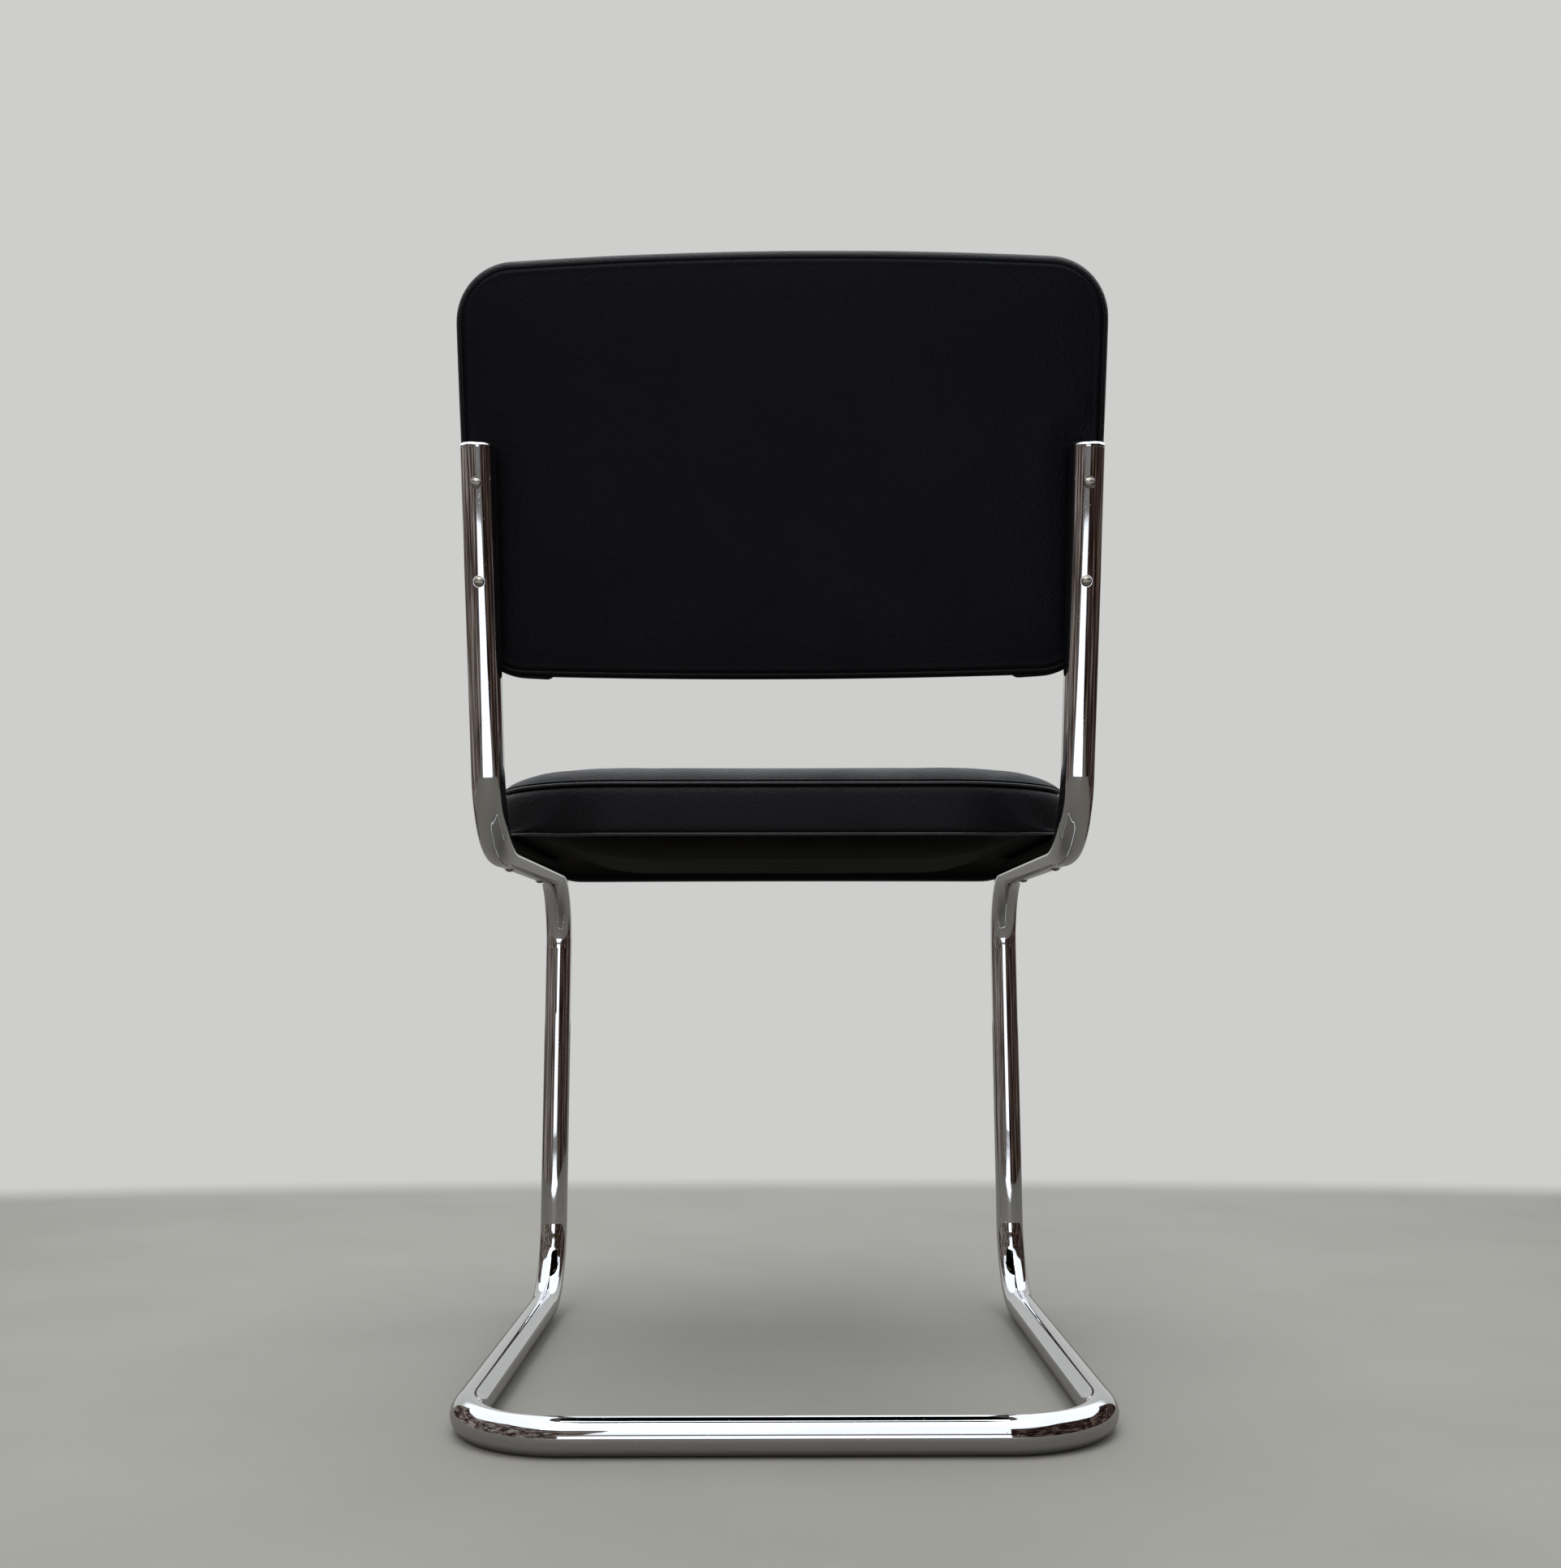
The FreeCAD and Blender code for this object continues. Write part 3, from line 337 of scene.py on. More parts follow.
def rim(corners, bows, cells):
    """Points round a four-sided outline with rounded corners, from the middle of its first corner.
    corners: centre and radius of each corner; bows: how far each side stands out; cells: steps of both."""
    points = []
    for number, ((x, y, radius), bow, (arc_cells, side_cells)) in enumerate(zip(corners, bows, cells)):
        first = math.pi * (1 + number / 2)
        for step in range(arc_cells):
            angle = first + math.pi / 2 * step / arc_cells
            points.append((x + radius * math.cos(angle), y + radius * math.sin(angle)))
        out = np.array((math.cos(first + math.pi / 2), math.sin(first + math.pi / 2)))
        next_x, next_y, next_radius = corners[(number + 1) % 4]
        start = np.array((x, y)) + out * radius
        end = np.array((next_x, next_y)) + out * next_radius
        for step in range(side_cells):
            share = step / side_cells
            points.append(start + (end - start) * share + out * bow * 4 * share * (1 - share))
    return np.roll(np.array(points), -(cells[0][0] // 2), axis=0)


def lay_grid(draft, loop, wide, deep):
    """A grid of cells stretched over the inside of an outline. It gives all its points and its rim."""
    made = bmesh.ops.create_grid(draft, x_segments=wide, y_segments=deep, size=1.0)["verts"]
    edge = [None] * len(loop)
    for point in made:
        i = round((point.co.x + 1) / 2 * wide)
        j = round((point.co.y + 1) / 2 * deep)
        u, v = i / wide, j / deep
        near, far = loop[i], loop[2 * wide + deep - i]
        low, high = loop[-j % len(loop)], loop[wide + j]
        corners = (
            (1 - u) * (1 - v) * loop[0] + u * (1 - v) * loop[wide]
            + u * v * loop[wide + deep] + (1 - u) * v * loop[2 * wide + deep]
        )
        flat = (1 - v) * near + v * far + (1 - u) * low + u * high - corners
        point.co = (flat[0], flat[1], 0)
        for hit, index in ((j == 0, i), (i == wide, wide + j), (j == deep, 2 * wide + deep - i),
                           (i == 0, -j % len(loop))):
            if hit:
                edge[index] = point
    return made, edge


def pull_ring(draft, ring, flat, height):
    """Pull a closed ring of points out into the next ring, at these places and heights."""
    edges = [draft.edges.get(pair) for pair in zip(ring, ring[1:] + ring[:1])]
    made = bmesh.ops.extrude_edge_only(draft, edges=edges)["geom"]
    fresh = {item for item in made if isinstance(item, bmesh.types.BMVert)}
    following = []
    for point, (x, y), z in zip(ring, flat, np.broadcast_to(height, len(ring))):
        follower = next(e.other_vert(point) for e in point.link_edges if e.other_vert(point) in fresh)
        follower.co = (x, y, z)
        following.append(follower)
    return following


def nearest_on(points, loop):
    """The place on a closed outline that is nearest to each point."""
    run = np.roll(loop, -1, axis=0) - loop
    share = (((points[:, None] - loop) * run).sum(2) / (run ** 2).sum(1)).clip(0, 1)
    feet = loop + share[..., None] * run
    nearest = np.linalg.norm(points[:, None] - feet, axis=2).argmin(1)
    return feet[np.arange(len(points)), nearest]


def distance_to(points, loop):
    return np.linalg.norm(points - nearest_on(points, loop), axis=1)


def lift(points, heights):
    for point, height in zip(points, heights):
        point.co.z = height


def flat_places(points):
    return np.array([point.co.xy for point in points])


# The seat in plan: half its width, where it ends, its corners' radii, and how far its sides bow out.
SEAT_HALF, SEAT_REAR, SEAT_FRONT = 228.0, -3.0, -420.5
REAR_CORNER, FRONT_CORNER, LEAST_CORNER = 102.0, 25.0, 12.0
SEAT_BOWS = (-1.0, -2.0, -0.5, -2.0)
SEAT_CELLS = ((12, 54), (12, 40), (24, 42), (24, 40))
SEAT_WIDE, SEAT_DEEP = 66, 58
SEAM_LEVEL, CROWN, RAIL_TOP = 37.5, 17.0, 21.4
# The crown gets nearly two thirds of its height within this distance from the seam.
CROWN_RUN = 16.0


def seat_outline(inset):
    """The seat in plan, with its sides drawn in a little, moved in by an inset."""
    rear_corner = max(REAR_CORNER - 0.6 * inset, LEAST_CORNER)
    front_corner = max(FRONT_CORNER - 0.4 * inset, LEAST_CORNER)
    half, rear, front = SEAT_HALF - inset, SEAT_REAR - inset, SEAT_FRONT + inset
    corners = (
        (-half + front_corner, front + front_corner, front_corner),
        (half - front_corner, front + front_corner, front_corner),
        (half - rear_corner, rear - rear_corner, rear_corner),
        (-half + rear_corner, rear - rear_corner, rear_corner),
    )
    return rim(corners, SEAT_BOWS, SEAT_CELLS)


def crown_height(places, seam_inset, height):
    """The crown rises steeply from the seam, less so along the front, and flattens to its middle."""
    inside = distance_to(places, seat_outline(seam_inset))
    forward = np.clip((-210.0 - places[:, 1]) / 200.0, 0, 1)
    return SEAM_LEVEL + height * (1 - np.exp(-inside / (CROWN_RUN * (1 + 0.4 * forward))))


# Foam: a warm cream, matt, with open cells of half a millimetre, drawn at 1.5 mm so that they show.
foam, shader, place = finish("cut_polyether_foam", {"Base Color": linear("#e0cf9a"), "Roughness": 0.95})
cells = add_node(foam, "ShaderNodeTexVoronoi", {"Vector": place, "Scale": 650.0})
aged = add_node(foam, "ShaderNodeTexNoise", {"Vector": place, "Scale": 18.0, "Detail": 3.0})
cream = add_node(
    foam, "ShaderNodeMix", {0: aged.outputs["Fac"], 6: linear("#ead9a6"), 7: linear("#c9ad6a")},
    data_type="RGBA",
)
porous = add_node(foam, "ShaderNodeBump", {"Height": cells.outputs["Distance"], "Distance": 0.0005})
join(foam, shader, {"Base Color": cream.outputs[2], "Normal": porous.outputs[0]})

# How far in from the seat's side the foam's crown starts, and its base on the rails ends.
FOAM_INSET, FOAM_BASE = 5.2, 3.0
draft = bmesh.new()
crown, ring = lay_grid(draft, seat_outline(FOAM_INSET + 4.8), SEAT_WIDE, SEAT_DEEP)
lift(crown, crown_height(flat_places(crown), FOAM_INSET, CROWN - 3.4) - 1.6)
# The foam stands back where the covers' seam turns in between them.
FOAM_SIDE = (
    (9.0, 37.6), (8.6, 35.4), (8.4, 33.6), (4.0, 31.0), (1.8, 26.0), (2.0, RAIL_TOP + 1.6),
    (FOAM_BASE, RAIL_TOP + 0.4),
)
for inset, height in FOAM_SIDE:
    ring = pull_ring(draft, ring, seat_outline(inset), height)
base, _ = lay_grid(draft, seat_outline(FOAM_BASE), SEAT_WIDE, SEAT_DEEP)
places = flat_places(base)
# The foam fills the opening between the four rails, whose corners it rounds, down to the straps.
opening = rim(
    ((-156.1, -348.6, 24.0), (156.1, -348.6, 24.0), (156.1, -74.9, 24.0), (-156.1, -74.9, 24.0)),
    (0, 0, 0, 0), ((8, 30), (8, 30), (8, 30), (8, 30)),
)
inner = (abs(places[:, 0]) < 180) & (places[:, 1] < -51) & (places[:, 1] > -372)
plug = np.where(inner, np.clip((distance_to(places, opening) - 1.0) / 7.0, 0, 1), 0)
hang = strap_sag(places[:, 1]) * np.clip(1 - (places[:, 0] / STRAP_BEND) ** 2, 0, 1)
lift(base, RAIL_TOP + 0.4 - plug * (RAIL_TOP - STRAP_TOP + hang - 0.4))
seat_foam = settle(draft, "seat_foam", seat_place, foam)
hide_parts("seat_padding")

# Lower cover: one sheet of black leatherette, pulled over the rails from below and hung slack between
# them, so that it bellies down under the straps. Its rear edge is stapled to the rear rail.
COVER_LEVEL, TURN_START, TURN_RADIUS, TURN_REACH = 0.3, -346.5, 190.0, 74.0


def lower_face(along):
    """The level of the seat's underside, which turns down along the front as the tube does."""
    reach = np.clip(TURN_START - along, 0, TURN_REACH)
    return COVER_LEVEL - (TURN_RADIUS - np.sqrt(TURN_RADIUS ** 2 - reach ** 2))


# Leatherette: black with a breath of blue, satin, with a fine grain of pebbles pressed into it. The
# pebbles of 0.8 mm are drawn at 2 mm so that they show. Touch has polished it in broad patches.
leatherette, shader, place = finish(
    "black_leatherette_cover",
    {"Base Color": linear("#060709"), "Roughness": 0.46, "Specular IOR Level": 0.12},
)
pebbles = add_node(
    leatherette, "ShaderNodeTexVoronoi", {"Vector": place, "Scale": 500.0, "Randomness": 1.0}
)
creases = add_node(leatherette, "ShaderNodeTexNoise", {"Vector": place, "Scale": 260.0, "Detail": 4.0})
patches = add_node(leatherette, "ShaderNodeTexNoise", {"Vector": place, "Scale": 16.0, "Detail": 4.0})
grain = add_node(
    leatherette, "ShaderNodeMath", {0: pebbles.outputs["Distance"], 1: creases.outputs["Fac"]},
    operation="ADD",
)
pressed = add_node(leatherette, "ShaderNodeBump", {"Height": grain.outputs[0], "Distance": 0.00025})
touched = add_node(
    leatherette, "ShaderNodeMapRange",
    {"Value": patches.outputs["Fac"], "From Min": 0.3, "From Max": 0.7, "To Min": 0.40, "To Max": 0.56},
)
# The grain's raised ridges are painted lighter and its hollows darker: painted shading of the grain in its
# black.
grain_painted_shading = add_node(
    leatherette, "ShaderNodeMix",
    {0: grain.outputs[0], 6: linear("#020304"), 7: linear("#0b0c10")}, data_type="RGBA",
)
join(leatherette, shader, {"Normal": pressed.outputs[0], "Roughness": touched.outputs[0],
                           "Base Color": grain_painted_shading.outputs[2]})


def leatherette_copy(name, shine):
    """The same leatherette, shinier or duller; shine is its specular level. Its copies are lit and shaded
    copies, whose sheen stands for how light falls on each part.
    """
    made = leatherette.copy()
    made.name = name
    made.node_tree.nodes["Principled BSDF"].inputs["Specular IOR Level"].default_value = shine
    return made


# The sheet below gets a duller, matt copy of the same leatherette: a shaded copy for the shade under the
# seat. Its brown patches are a painted reflection of the warm floor.
underside_shaded_copy = leatherette_copy("matt_leatherette_underside", 0.04)
shader = underside_shaded_copy.node_tree.nodes["Principled BSDF"]
underside_shaded_copy.node_tree.links.remove(shader.inputs["Roughness"].links[0])
underside_shaded_copy.node_tree.links.remove(shader.inputs["Base Color"].links[0])
shader.inputs["Roughness"].default_value = 0.72
place = underside_shaded_copy.node_tree.nodes["Texture Coordinate"].outputs["Object"]
brown_patch_noise = add_node(underside_shaded_copy, "ShaderNodeTexNoise", {"Vector": place, "Scale": 22.0, "Detail": 5.0})
# Brown in patches: a painted reflection of the warm floor.
painted_floor_reflection_brown = add_node(
    underside_shaded_copy, "ShaderNodeMix", {0: brown_patch_noise.outputs["Fac"], 6: linear("#050504"), 7: linear("#110f0c")},
    data_type="RGBA",
)
join(underside_shaded_copy, shader, {"Base Color": painted_floor_reflection_brown.outputs[2]})

SIDE = seat_outline(0.0)
INWARD = (seat_outline(10.0) - SIDE) / 10.0
# How far the lower edge hangs between the two tubes, and how high it lies over the top of each.
EDGE_HANG, EDGE_OVER_TUBE = 2.6, 2.9


def edge_level():
    """The level of the seat's lower edge: it hangs a little between the two tubes behind, and they lift
    it where they pass under it."""
    across, along = abs(SIDE[:, 0]), SIDE[:, 1]
    hangs = EDGE_HANG * np.clip((198.0 - across) / 30.0, 0, 1) * (along > -150.0)
    off_axis = np.clip(abs(across - TRACK_HALF), 0, TUBE_RADIUS - 0.1)
    crest = np.sqrt(TUBE_RADIUS ** 2 - off_axis ** 2) - TUBE_RADIUS
    over_tube = np.where(along > -330.0, crest + EDGE_OVER_TUBE, -99.0)
    low = np.maximum(lower_face(along) - hangs, over_tube)
    for _ in range(4):
        low = (np.roll(low, 1) + 2 * low + np.roll(low, -1)) / 4
    return low


EDGE_LOW = edge_level()


def side_ring(inset, level):
    """Places on the seat's side, drawn in further below the rails' level, where the front turns down."""
    drawn = inset + 3.0 * np.clip(-level - 3.0, 0, None) / 14.0
    return SIDE + INWARD * drawn[:, None]


# The belly's outline: how far it reaches across and to the rear, and its two corner radii. Then how deep
# it hangs, how soon it gets there, and how high the ridges on it are.
BELLY_HALF, BELLY_REAR, FRONT_ROUND, REAR_ROUND = 188.0, -17.0, 50.0, 70.0
BELLY_DEEP, BELLY_RUN, RIDGE_HIGH = 18.0, 30.0, 0.7
front_x, front_y = BELLY_HALF - FRONT_ROUND, TURN_START + FRONT_ROUND
rear_x, rear_y = BELLY_HALF - REAR_ROUND, BELLY_REAR - REAR_ROUND
BELLY = rim(
    ((-front_x, front_y, FRONT_ROUND), (front_x, front_y, FRONT_ROUND),
     (rear_x, rear_y, REAR_ROUND), (-rear_x, rear_y, REAR_ROUND)),
    (0, 0, 0, 0), ((12, 40), (12, 40), (16, 40), (16, 40)),
)
draft = bmesh.new()
sheet, ring = lay_grid(draft, seat_outline(9.0), SEAT_WIDE, SEAT_DEEP)
places = flat_places(sheet)
across, along = abs(places[:, 0]), places[:, 1]
belly_corner = np.where(along > -190, REAR_ROUND, FRONT_ROUND)
beyond = np.maximum(across - BELLY_HALF, np.maximum(along - BELLY_REAR, TURN_START - along))
corner_x = across - (BELLY_HALF - belly_corner)
corner_y = np.maximum(along - (BELLY_REAR - belly_corner), (TURN_START + belly_corner) - along)
rounded = np.hypot(np.maximum(corner_x, 0), np.maximum(corner_y, 0)) > belly_corner
outside = (beyond > 0) | ((corner_x > 0) & (corner_y > 0) & rounded)
inward = np.where(outside, 0, distance_to(places, BELLY))
slack = 1 - np.exp(-((inward / BELLY_RUN) ** 1.15))
# The five straps show through the slack cover as soft ridges, one every 54 mm.
ridges = RIDGE_HIGH * np.cos((along - FIRST_STRAP) / STRAP_PITCH * 2 * math.pi) * slack ** 2
lift(sheet, lower_face(along) - BELLY_DEEP * slack - ridges * np.clip(1 - across / 190, 0, 1))
for inset, rise in ((6.6, 0.1), (5.2, -0.1), (4.0, 0.1)):
    ring = pull_ring(draft, ring, side_ring(inset, EDGE_LOW), EDGE_LOW + rise)
bmesh.ops.smooth_vert(draft, verts=sheet, factor=0.5, use_axis_z=True)
lower_panel = settle(
    draft, "seat_lower_panel", seat_place, underside_shaded_copy, Vector((0, 0, -1))
)
thicken(lower_panel, 0.001)
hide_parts("seat_lower_cover")

# Band: a strip of leatherette round the seat's side, from the welt under the crown to the welt at the
# bottom. It is sewn to the top cover, and its lower edge is turned in under the rails.
draft = bmesh.new()
ring = bmesh.ops.create_circle(draft, segments=len(SIDE), radius=1.0)["verts"]
# From the top down: how far each ring is drawn in, its level as a share of the band, and what is added.
BAND_RINGS = (
    (6.9, 1, -2.6), (5.9, 1, -4.2), (4.8, 1, -4.6), (3.8, 1, -4.85), (2.8, 1, -5.3), (1.9, 1, -6.2),
    (1.1, 1, -7.8), (0.4, 1, -10.6), (0.0, 0.5, 2.0), (0.0, 0.4, 0.0), (0.3, 0.2, 1.0), (0.7, 0, 4.6),
    (1.2, 0, 2.5), (1.9, 0, 1.1), (2.7, 0, 0.45), (3.6, 0, 0.2), (5.0, 0, 0.3), (7.2, 0, 0.8),
)
for number, (inset, share, extra) in enumerate(BAND_RINGS):
    level = EDGE_LOW + (SEAM_LEVEL - EDGE_LOW) * share + extra
    flat = side_ring(inset, level)
    if number:
        ring = pull_ring(draft, ring, flat, level)
        continue
    for point, (x, y), z in zip(ring, flat, level):
        point.co = (x, y, z)
band = settle(draft, "seat_band", seat_place, leatherette)
thicken(band, 0.001)
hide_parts("seat_band_cover")

# Top cover: the crowned leatherette panel that one sits on, cut to the seat's plan and sewn to the band.
# The foam below fills it out, and its edge rolls down into the welt.


def fill_out(piece, held, pressure, most):
    """Blow a cover out as its foam does, held where it is sewn. No point moves further than most."""
    sewn = piece.vertex_groups.new(name="sewn")
    sewn.add(held, 1.0, "REPLACE")
    cloth = piece.modifiers.new("fullness", "CLOTH")
    cloth.settings.vertex_group_mass = "sewn"
    cloth.settings.use_pressure = True
    cloth.settings.uniform_pressure_force = pressure
    cloth.settings.effector_weights.gravity = 0.0
    cloth.point_cache.frame_start = 1
    cloth.point_cache.frame_end = 20
    for step in range(1, 21):
        bpy.context.scene.frame_set(step)
    blown = piece.evaluated_get(bpy.context.evaluated_depsgraph_get())
    moves = [after.co - before.co for after, before in zip(blown.data.vertices, piece.data.vertices)]
    share = min(1.0, most / max(move.length for move in moves))
    moves = [move * share for move in moves]
    piece.modifiers.remove(cloth)
    for point, move in zip(piece.data.vertices, moves):
        point.co += move
    piece.vertex_groups.remove(sewn)
    bpy.context.scene.frame_set(1)


# The top gets a duller copy of the leatherette: a shaded copy, painted shade that dims the sheen where the
# crown turns away.
seat_top_shaded_copy = leatherette_copy("shaded_copy_leatherette_seat", 0.08)

draft = bmesh.new()
crown, ring = lay_grid(draft, seat_outline(6.0), SEAT_WIDE, SEAT_DEEP)
SEAM_INSET = 3.0
lift(crown, crown_height(flat_places(crown), SEAM_INSET, CROWN - 1.5))
# The panel's edge rolls under and turns down behind the welt, where the band's edge meets it. For each
# ring: how far it is in from the seat's side, and its level.
TOP_EDGE = (
    (4.4, 38.7), (3.5, 38.1), (2.9, 37.6), (2.9, 37.3), (3.5, 37.1), (4.6, 37.0), (5.9, 36.7),
    (6.9, 35.1),
)
for inset, height in TOP_EDGE:
    ring = pull_ring(draft, ring, seat_outline(inset), height)
seat_top = settle(
    draft, "seat_top_panel", seat_place, seat_top_shaded_copy, Vector((0, 0, 1))
)
spots = np.array([seat_place.inverted() @ point.co for point in seat_top.data.vertices])
near_seam = distance_to(spots[:, :2], seat_outline(SEAM_INSET)) < 4.0
fill_out(seat_top, np.flatnonzero(near_seam).tolist(), pressure=2.0, most=0.003)
thicken(seat_top, 0.001)
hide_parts("seat_top_cover")

# Welts: thin cords rolled in leatherette and sewn into the seat's two seams. The upper one stands in the
# groove between the top and the band, the lower one runs under the band's edge.

# The welts get a shinier copy of the leatherette: a lit copy, a painted highlight along their ridges.
welt_lit_copy = leatherette_copy("lit_copy_leatherette_cord", 0.5)
WELT_RADIUS = 1.5


def welt(name, centre, heights):
    """A round cord along a closed line; centre is its inset from the seat's side."""
    draft = bmesh.new()
    ring = bmesh.ops.create_circle(draft, segments=len(SIDE), radius=1.0)["verts"]
    first = list(ring)
    for step in range(8):
        angle = math.pi / 4 * step
        flat = side_ring(centre - WELT_RADIUS * math.cos(angle), heights)
        level = heights + WELT_RADIUS * math.sin(angle)
        if step:
            ring = pull_ring(draft, ring, flat, level)
            continue
        for point, (x, y), z in zip(ring, flat, level):
            point.co = (x, y, z)
    loops = [draft.edges.get(pair) for line in (first, ring) for pair in zip(line, line[1:] + line[:1])]
    bmesh.ops.bridge_loops(draft, edges=loops)
    made = settle(draft, name, seat_place, welt_lit_copy)
    round_off = made.modifiers.new("round_off", "SUBSURF")
    round_off.levels = 1
    round_off.render_levels = 1


welt("seat_upper_welt", 3.2, np.full(len(SIDE), 35.1))
welt("seat_lower_welt", 3.3, EDGE_LOW - 0.9)

# Back board: eight millimetres of birch plywood that the four screws of the uprights pull on.
# Its faces are pale birch; its edges show the plies, 1.4 mm each, light and dark in turn.
plywood, shader, place = finish("birch_plywood", {"Base Color": linear("#d9bd8d"), "Roughness": 0.55})
upright = add_node(plywood, "ShaderNodeMapping", {"Vector": place, "Rotation": (lean, 0, 0)})
plies = add_node(
    plywood, "ShaderNodeTexWave", {"Vector": upright.outputs[0], "Scale": 112.0}, bands_direction="Y"
)
figure_place = add_node(plywood, "ShaderNodeMapping", {"Vector": place, "Scale": (10.0, 240.0, 240.0)})
figure = add_node(
    plywood, "ShaderNodeTexNoise", {"Vector": figure_place.outputs[0], "Scale": 1.0, "Detail": 5.0}
)
birch = add_node(
    plywood, "ShaderNodeMix", {0: figure.outputs["Fac"], 6: linear("#e5cd9f"), 7: linear("#c6a06a")},
    data_type="RGBA",
)
glued = add_node(
    plywood, "ShaderNodeMix", {0: plies.outputs["Fac"], 6: birch.outputs[2], 7: linear("#b98f5b")},
    data_type="RGBA",
)
sanded = add_node(plywood, "ShaderNodeBump", {"Height": figure.outputs["Fac"], "Distance": 0.00008})
join(plywood, shader, {"Base Color": glued.outputs[2], "Normal": sanded.outputs[0]})

# The back is drawn across and up along the uprights; the third axis looks forwards from the tubes' axes.
back_front_place = back_root @ Matrix(
    ((1, 0, 0, 0), (0, 0, -1, 0), (0, 1, 0, 0), (0, 0, 0, 1))
) @ MILLIMETRES
BACK_CELLS = ((12, 66), (12, 39), (14, 64), (14, 39))
BACK_WIDE, BACK_DEEP = 78, 52
# How far the covered board's rear is from the tubes' axes, how thick the back is, and the board's front.
BACK_REAR, BACK_THICK, BOARD_FRONT = 12.8, 27.5, 22.0
# The hand-cut back is a little uneven. For the chair's left and right side: the levels of its lower and
# its upper edge, and its upper corner.
BACK_SIDES = {1: (124.4, 429.2, 43.5), -1: (125.6, 433.1, 44.0)}
# Half its width above and below, its lower corners, and how far its top, bottom and sides stand out.
TOP_HALF, LOW_HALF, LOW_CORNER = 236.2, 231.5, 41.0
TOP_ARCH, LOW_BOW, SIDE_BOW = 8.0, 2.9, 0.8


def back_outline(inset, facing=1):
    """The back in its own plane, arched on top and bowed below, moved in by an inset. Facing is -1 where
    it is drawn from behind."""
    wide, narrow, small = TOP_HALF - inset, LOW_HALF - inset, LOW_CORNER - inset
    corners = []
    for side in (-1, 1):
        corners.append((side * (narrow - small), BACK_SIDES[side * facing][0] + inset + small, small))
    arch = 0.0
    for side in (1, -1):
        _, high, big = BACK_SIDES[side * facing]
        big -= inset
        end = wide - big
        rise = TOP_ARCH * (end / wide) ** 2
        corners.append((side * end, high - inset - rise - big, big))
        arch += rise / 2
    return rim(corners, (LOW_BOW, SIDE_BOW, arch, SIDE_BOW), BACK_CELLS)


def seam_drop(levels):
    """Along the top of the back the rear seam runs lower, so that the edge shows wider there."""
    return 1.2 * np.clip((levels - 330.0) / 80.0, 0, 1)


# The board keeps the holes that it has for its four nuts, and its edge follows the uneven outline.
draft = bmesh.new()
draft.from_mesh(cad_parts["back_board"].data)
bmesh.ops.remove_doubles(draft, verts=draft.verts, dist=0.00001)
bmesh.ops.transform(draft, matrix=back_front_place.inverted(), verts=draft.verts)
NUTS = np.array(
    [(side * (TRACK_HALF + SPLAY * up / UPRIGHT), up) for side in (-1, 1) for up in (195.0, 265.0)]
)
places = flat_places(draft.verts)
to_nut = np.linalg.norm(places[:, None] - NUTS, axis=2).min(1)
for point, foot, gap in zip(draft.verts, nearest_on(places, back_outline(4.2)), to_nut):
    if gap > 15.0:
        point.co.xy = foot
board = settle(draft, "back_plywood_board", back_front_place, plywood)
board.data.set_sharp_from_angle(angle=math.radians(35))
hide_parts("back_board")

# Back foam: a sheet of the seat's foam on the front of the board, shaved down towards its edges.
# It has shallow pockets where the flanges of the four nuts stand out of the board.

# What the edge has of the full thickness, and how soon the roll gets near the rest.
EDGE_SHARE, ROLL_RUN = 0.52, 11.0


def back_crown(places, edge_inset, thick):
    """The front of the back: a quick roll at the edge, then nearly flat."""
    inside = distance_to(places, back_outline(edge_inset))
    return BACK_REAR + thick * (EDGE_SHARE + (1 - EDGE_SHARE) * (1 - np.exp(-inside / ROLL_RUN)))


draft = bmesh.new()
crown, ring = lay_grid(draft, back_outline(5.0), BACK_WIDE, BACK_DEEP)
lift(crown, back_crown(flat_places(crown), 3.0, BACK_THICK - 1.0) - 1.4)
for inset, height in ((3.2, 27.0), (2.4, 25.0), (2.2, 23.2), (2.8, BOARD_FRONT + 0.3)):
    ring = pull_ring(draft, ring, back_outline(inset), height)
base, _ = lay_grid(draft, back_outline(2.8), BACK_WIDE, BACK_DEEP)
to_nut = np.linalg.norm(flat_places(base)[:, None] - NUTS, axis=2).min(1)
POCKET_RADIUS, POCKET_DEEP = 11.5, 1.4
lift(base, BOARD_FRONT + 0.3 + POCKET_DEEP * (to_nut < POCKET_RADIUS))
back_foam = settle(draft, "back_foam", back_front_place, foam)
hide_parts("back_padding")

# Front cover: one piece of leatherette over the foam, rolled round the board's edge to the rear, where
# its raw edge is sewn down in a groove 5 mm in from the side, and 6 mm down from the top.
draft = bmesh.new()
crown, ring = lay_grid(draft, back_outline(3.2), BACK_WIDE, BACK_DEEP)
lift(crown, back_crown(flat_places(crown), 1.2, BACK_THICK - 2.0))
# From the front round to the rear: how far each ring is in from the back's side, and its level.
BACK_EDGE = (
    (1.5, 27.2), (0.5, 25.0), (0.0, 22.4), (0.0, 20.2), (0.35, 18.0), (0.95, 16.1), (1.75, 14.6),
    (2.6, 13.55), (3.4, 13.0), (4.1, 12.85), (4.7, 13.1), (5.1, 13.6), (5.8, 13.95), (6.8, 14.1),
)
for inset, height in BACK_EDGE:
    flat = back_outline(inset)
    if height < 20.0:
        flat[:, 1] -= seam_drop(flat[:, 1]) * min(1.0, inset / 4.1)
    ring = pull_ring(draft, ring, flat, height)
back_front = settle(
    draft, "back_front_panel", back_front_place, leatherette, Vector((0, 0, 1))
)
spots = np.array([back_front_place.inverted() @ point.co for point in back_front.data.vertices])
near_edge = (distance_to(spots[:, :2], back_outline(0.0)) < 3.4) | (spots[:, 2] < 27.0)
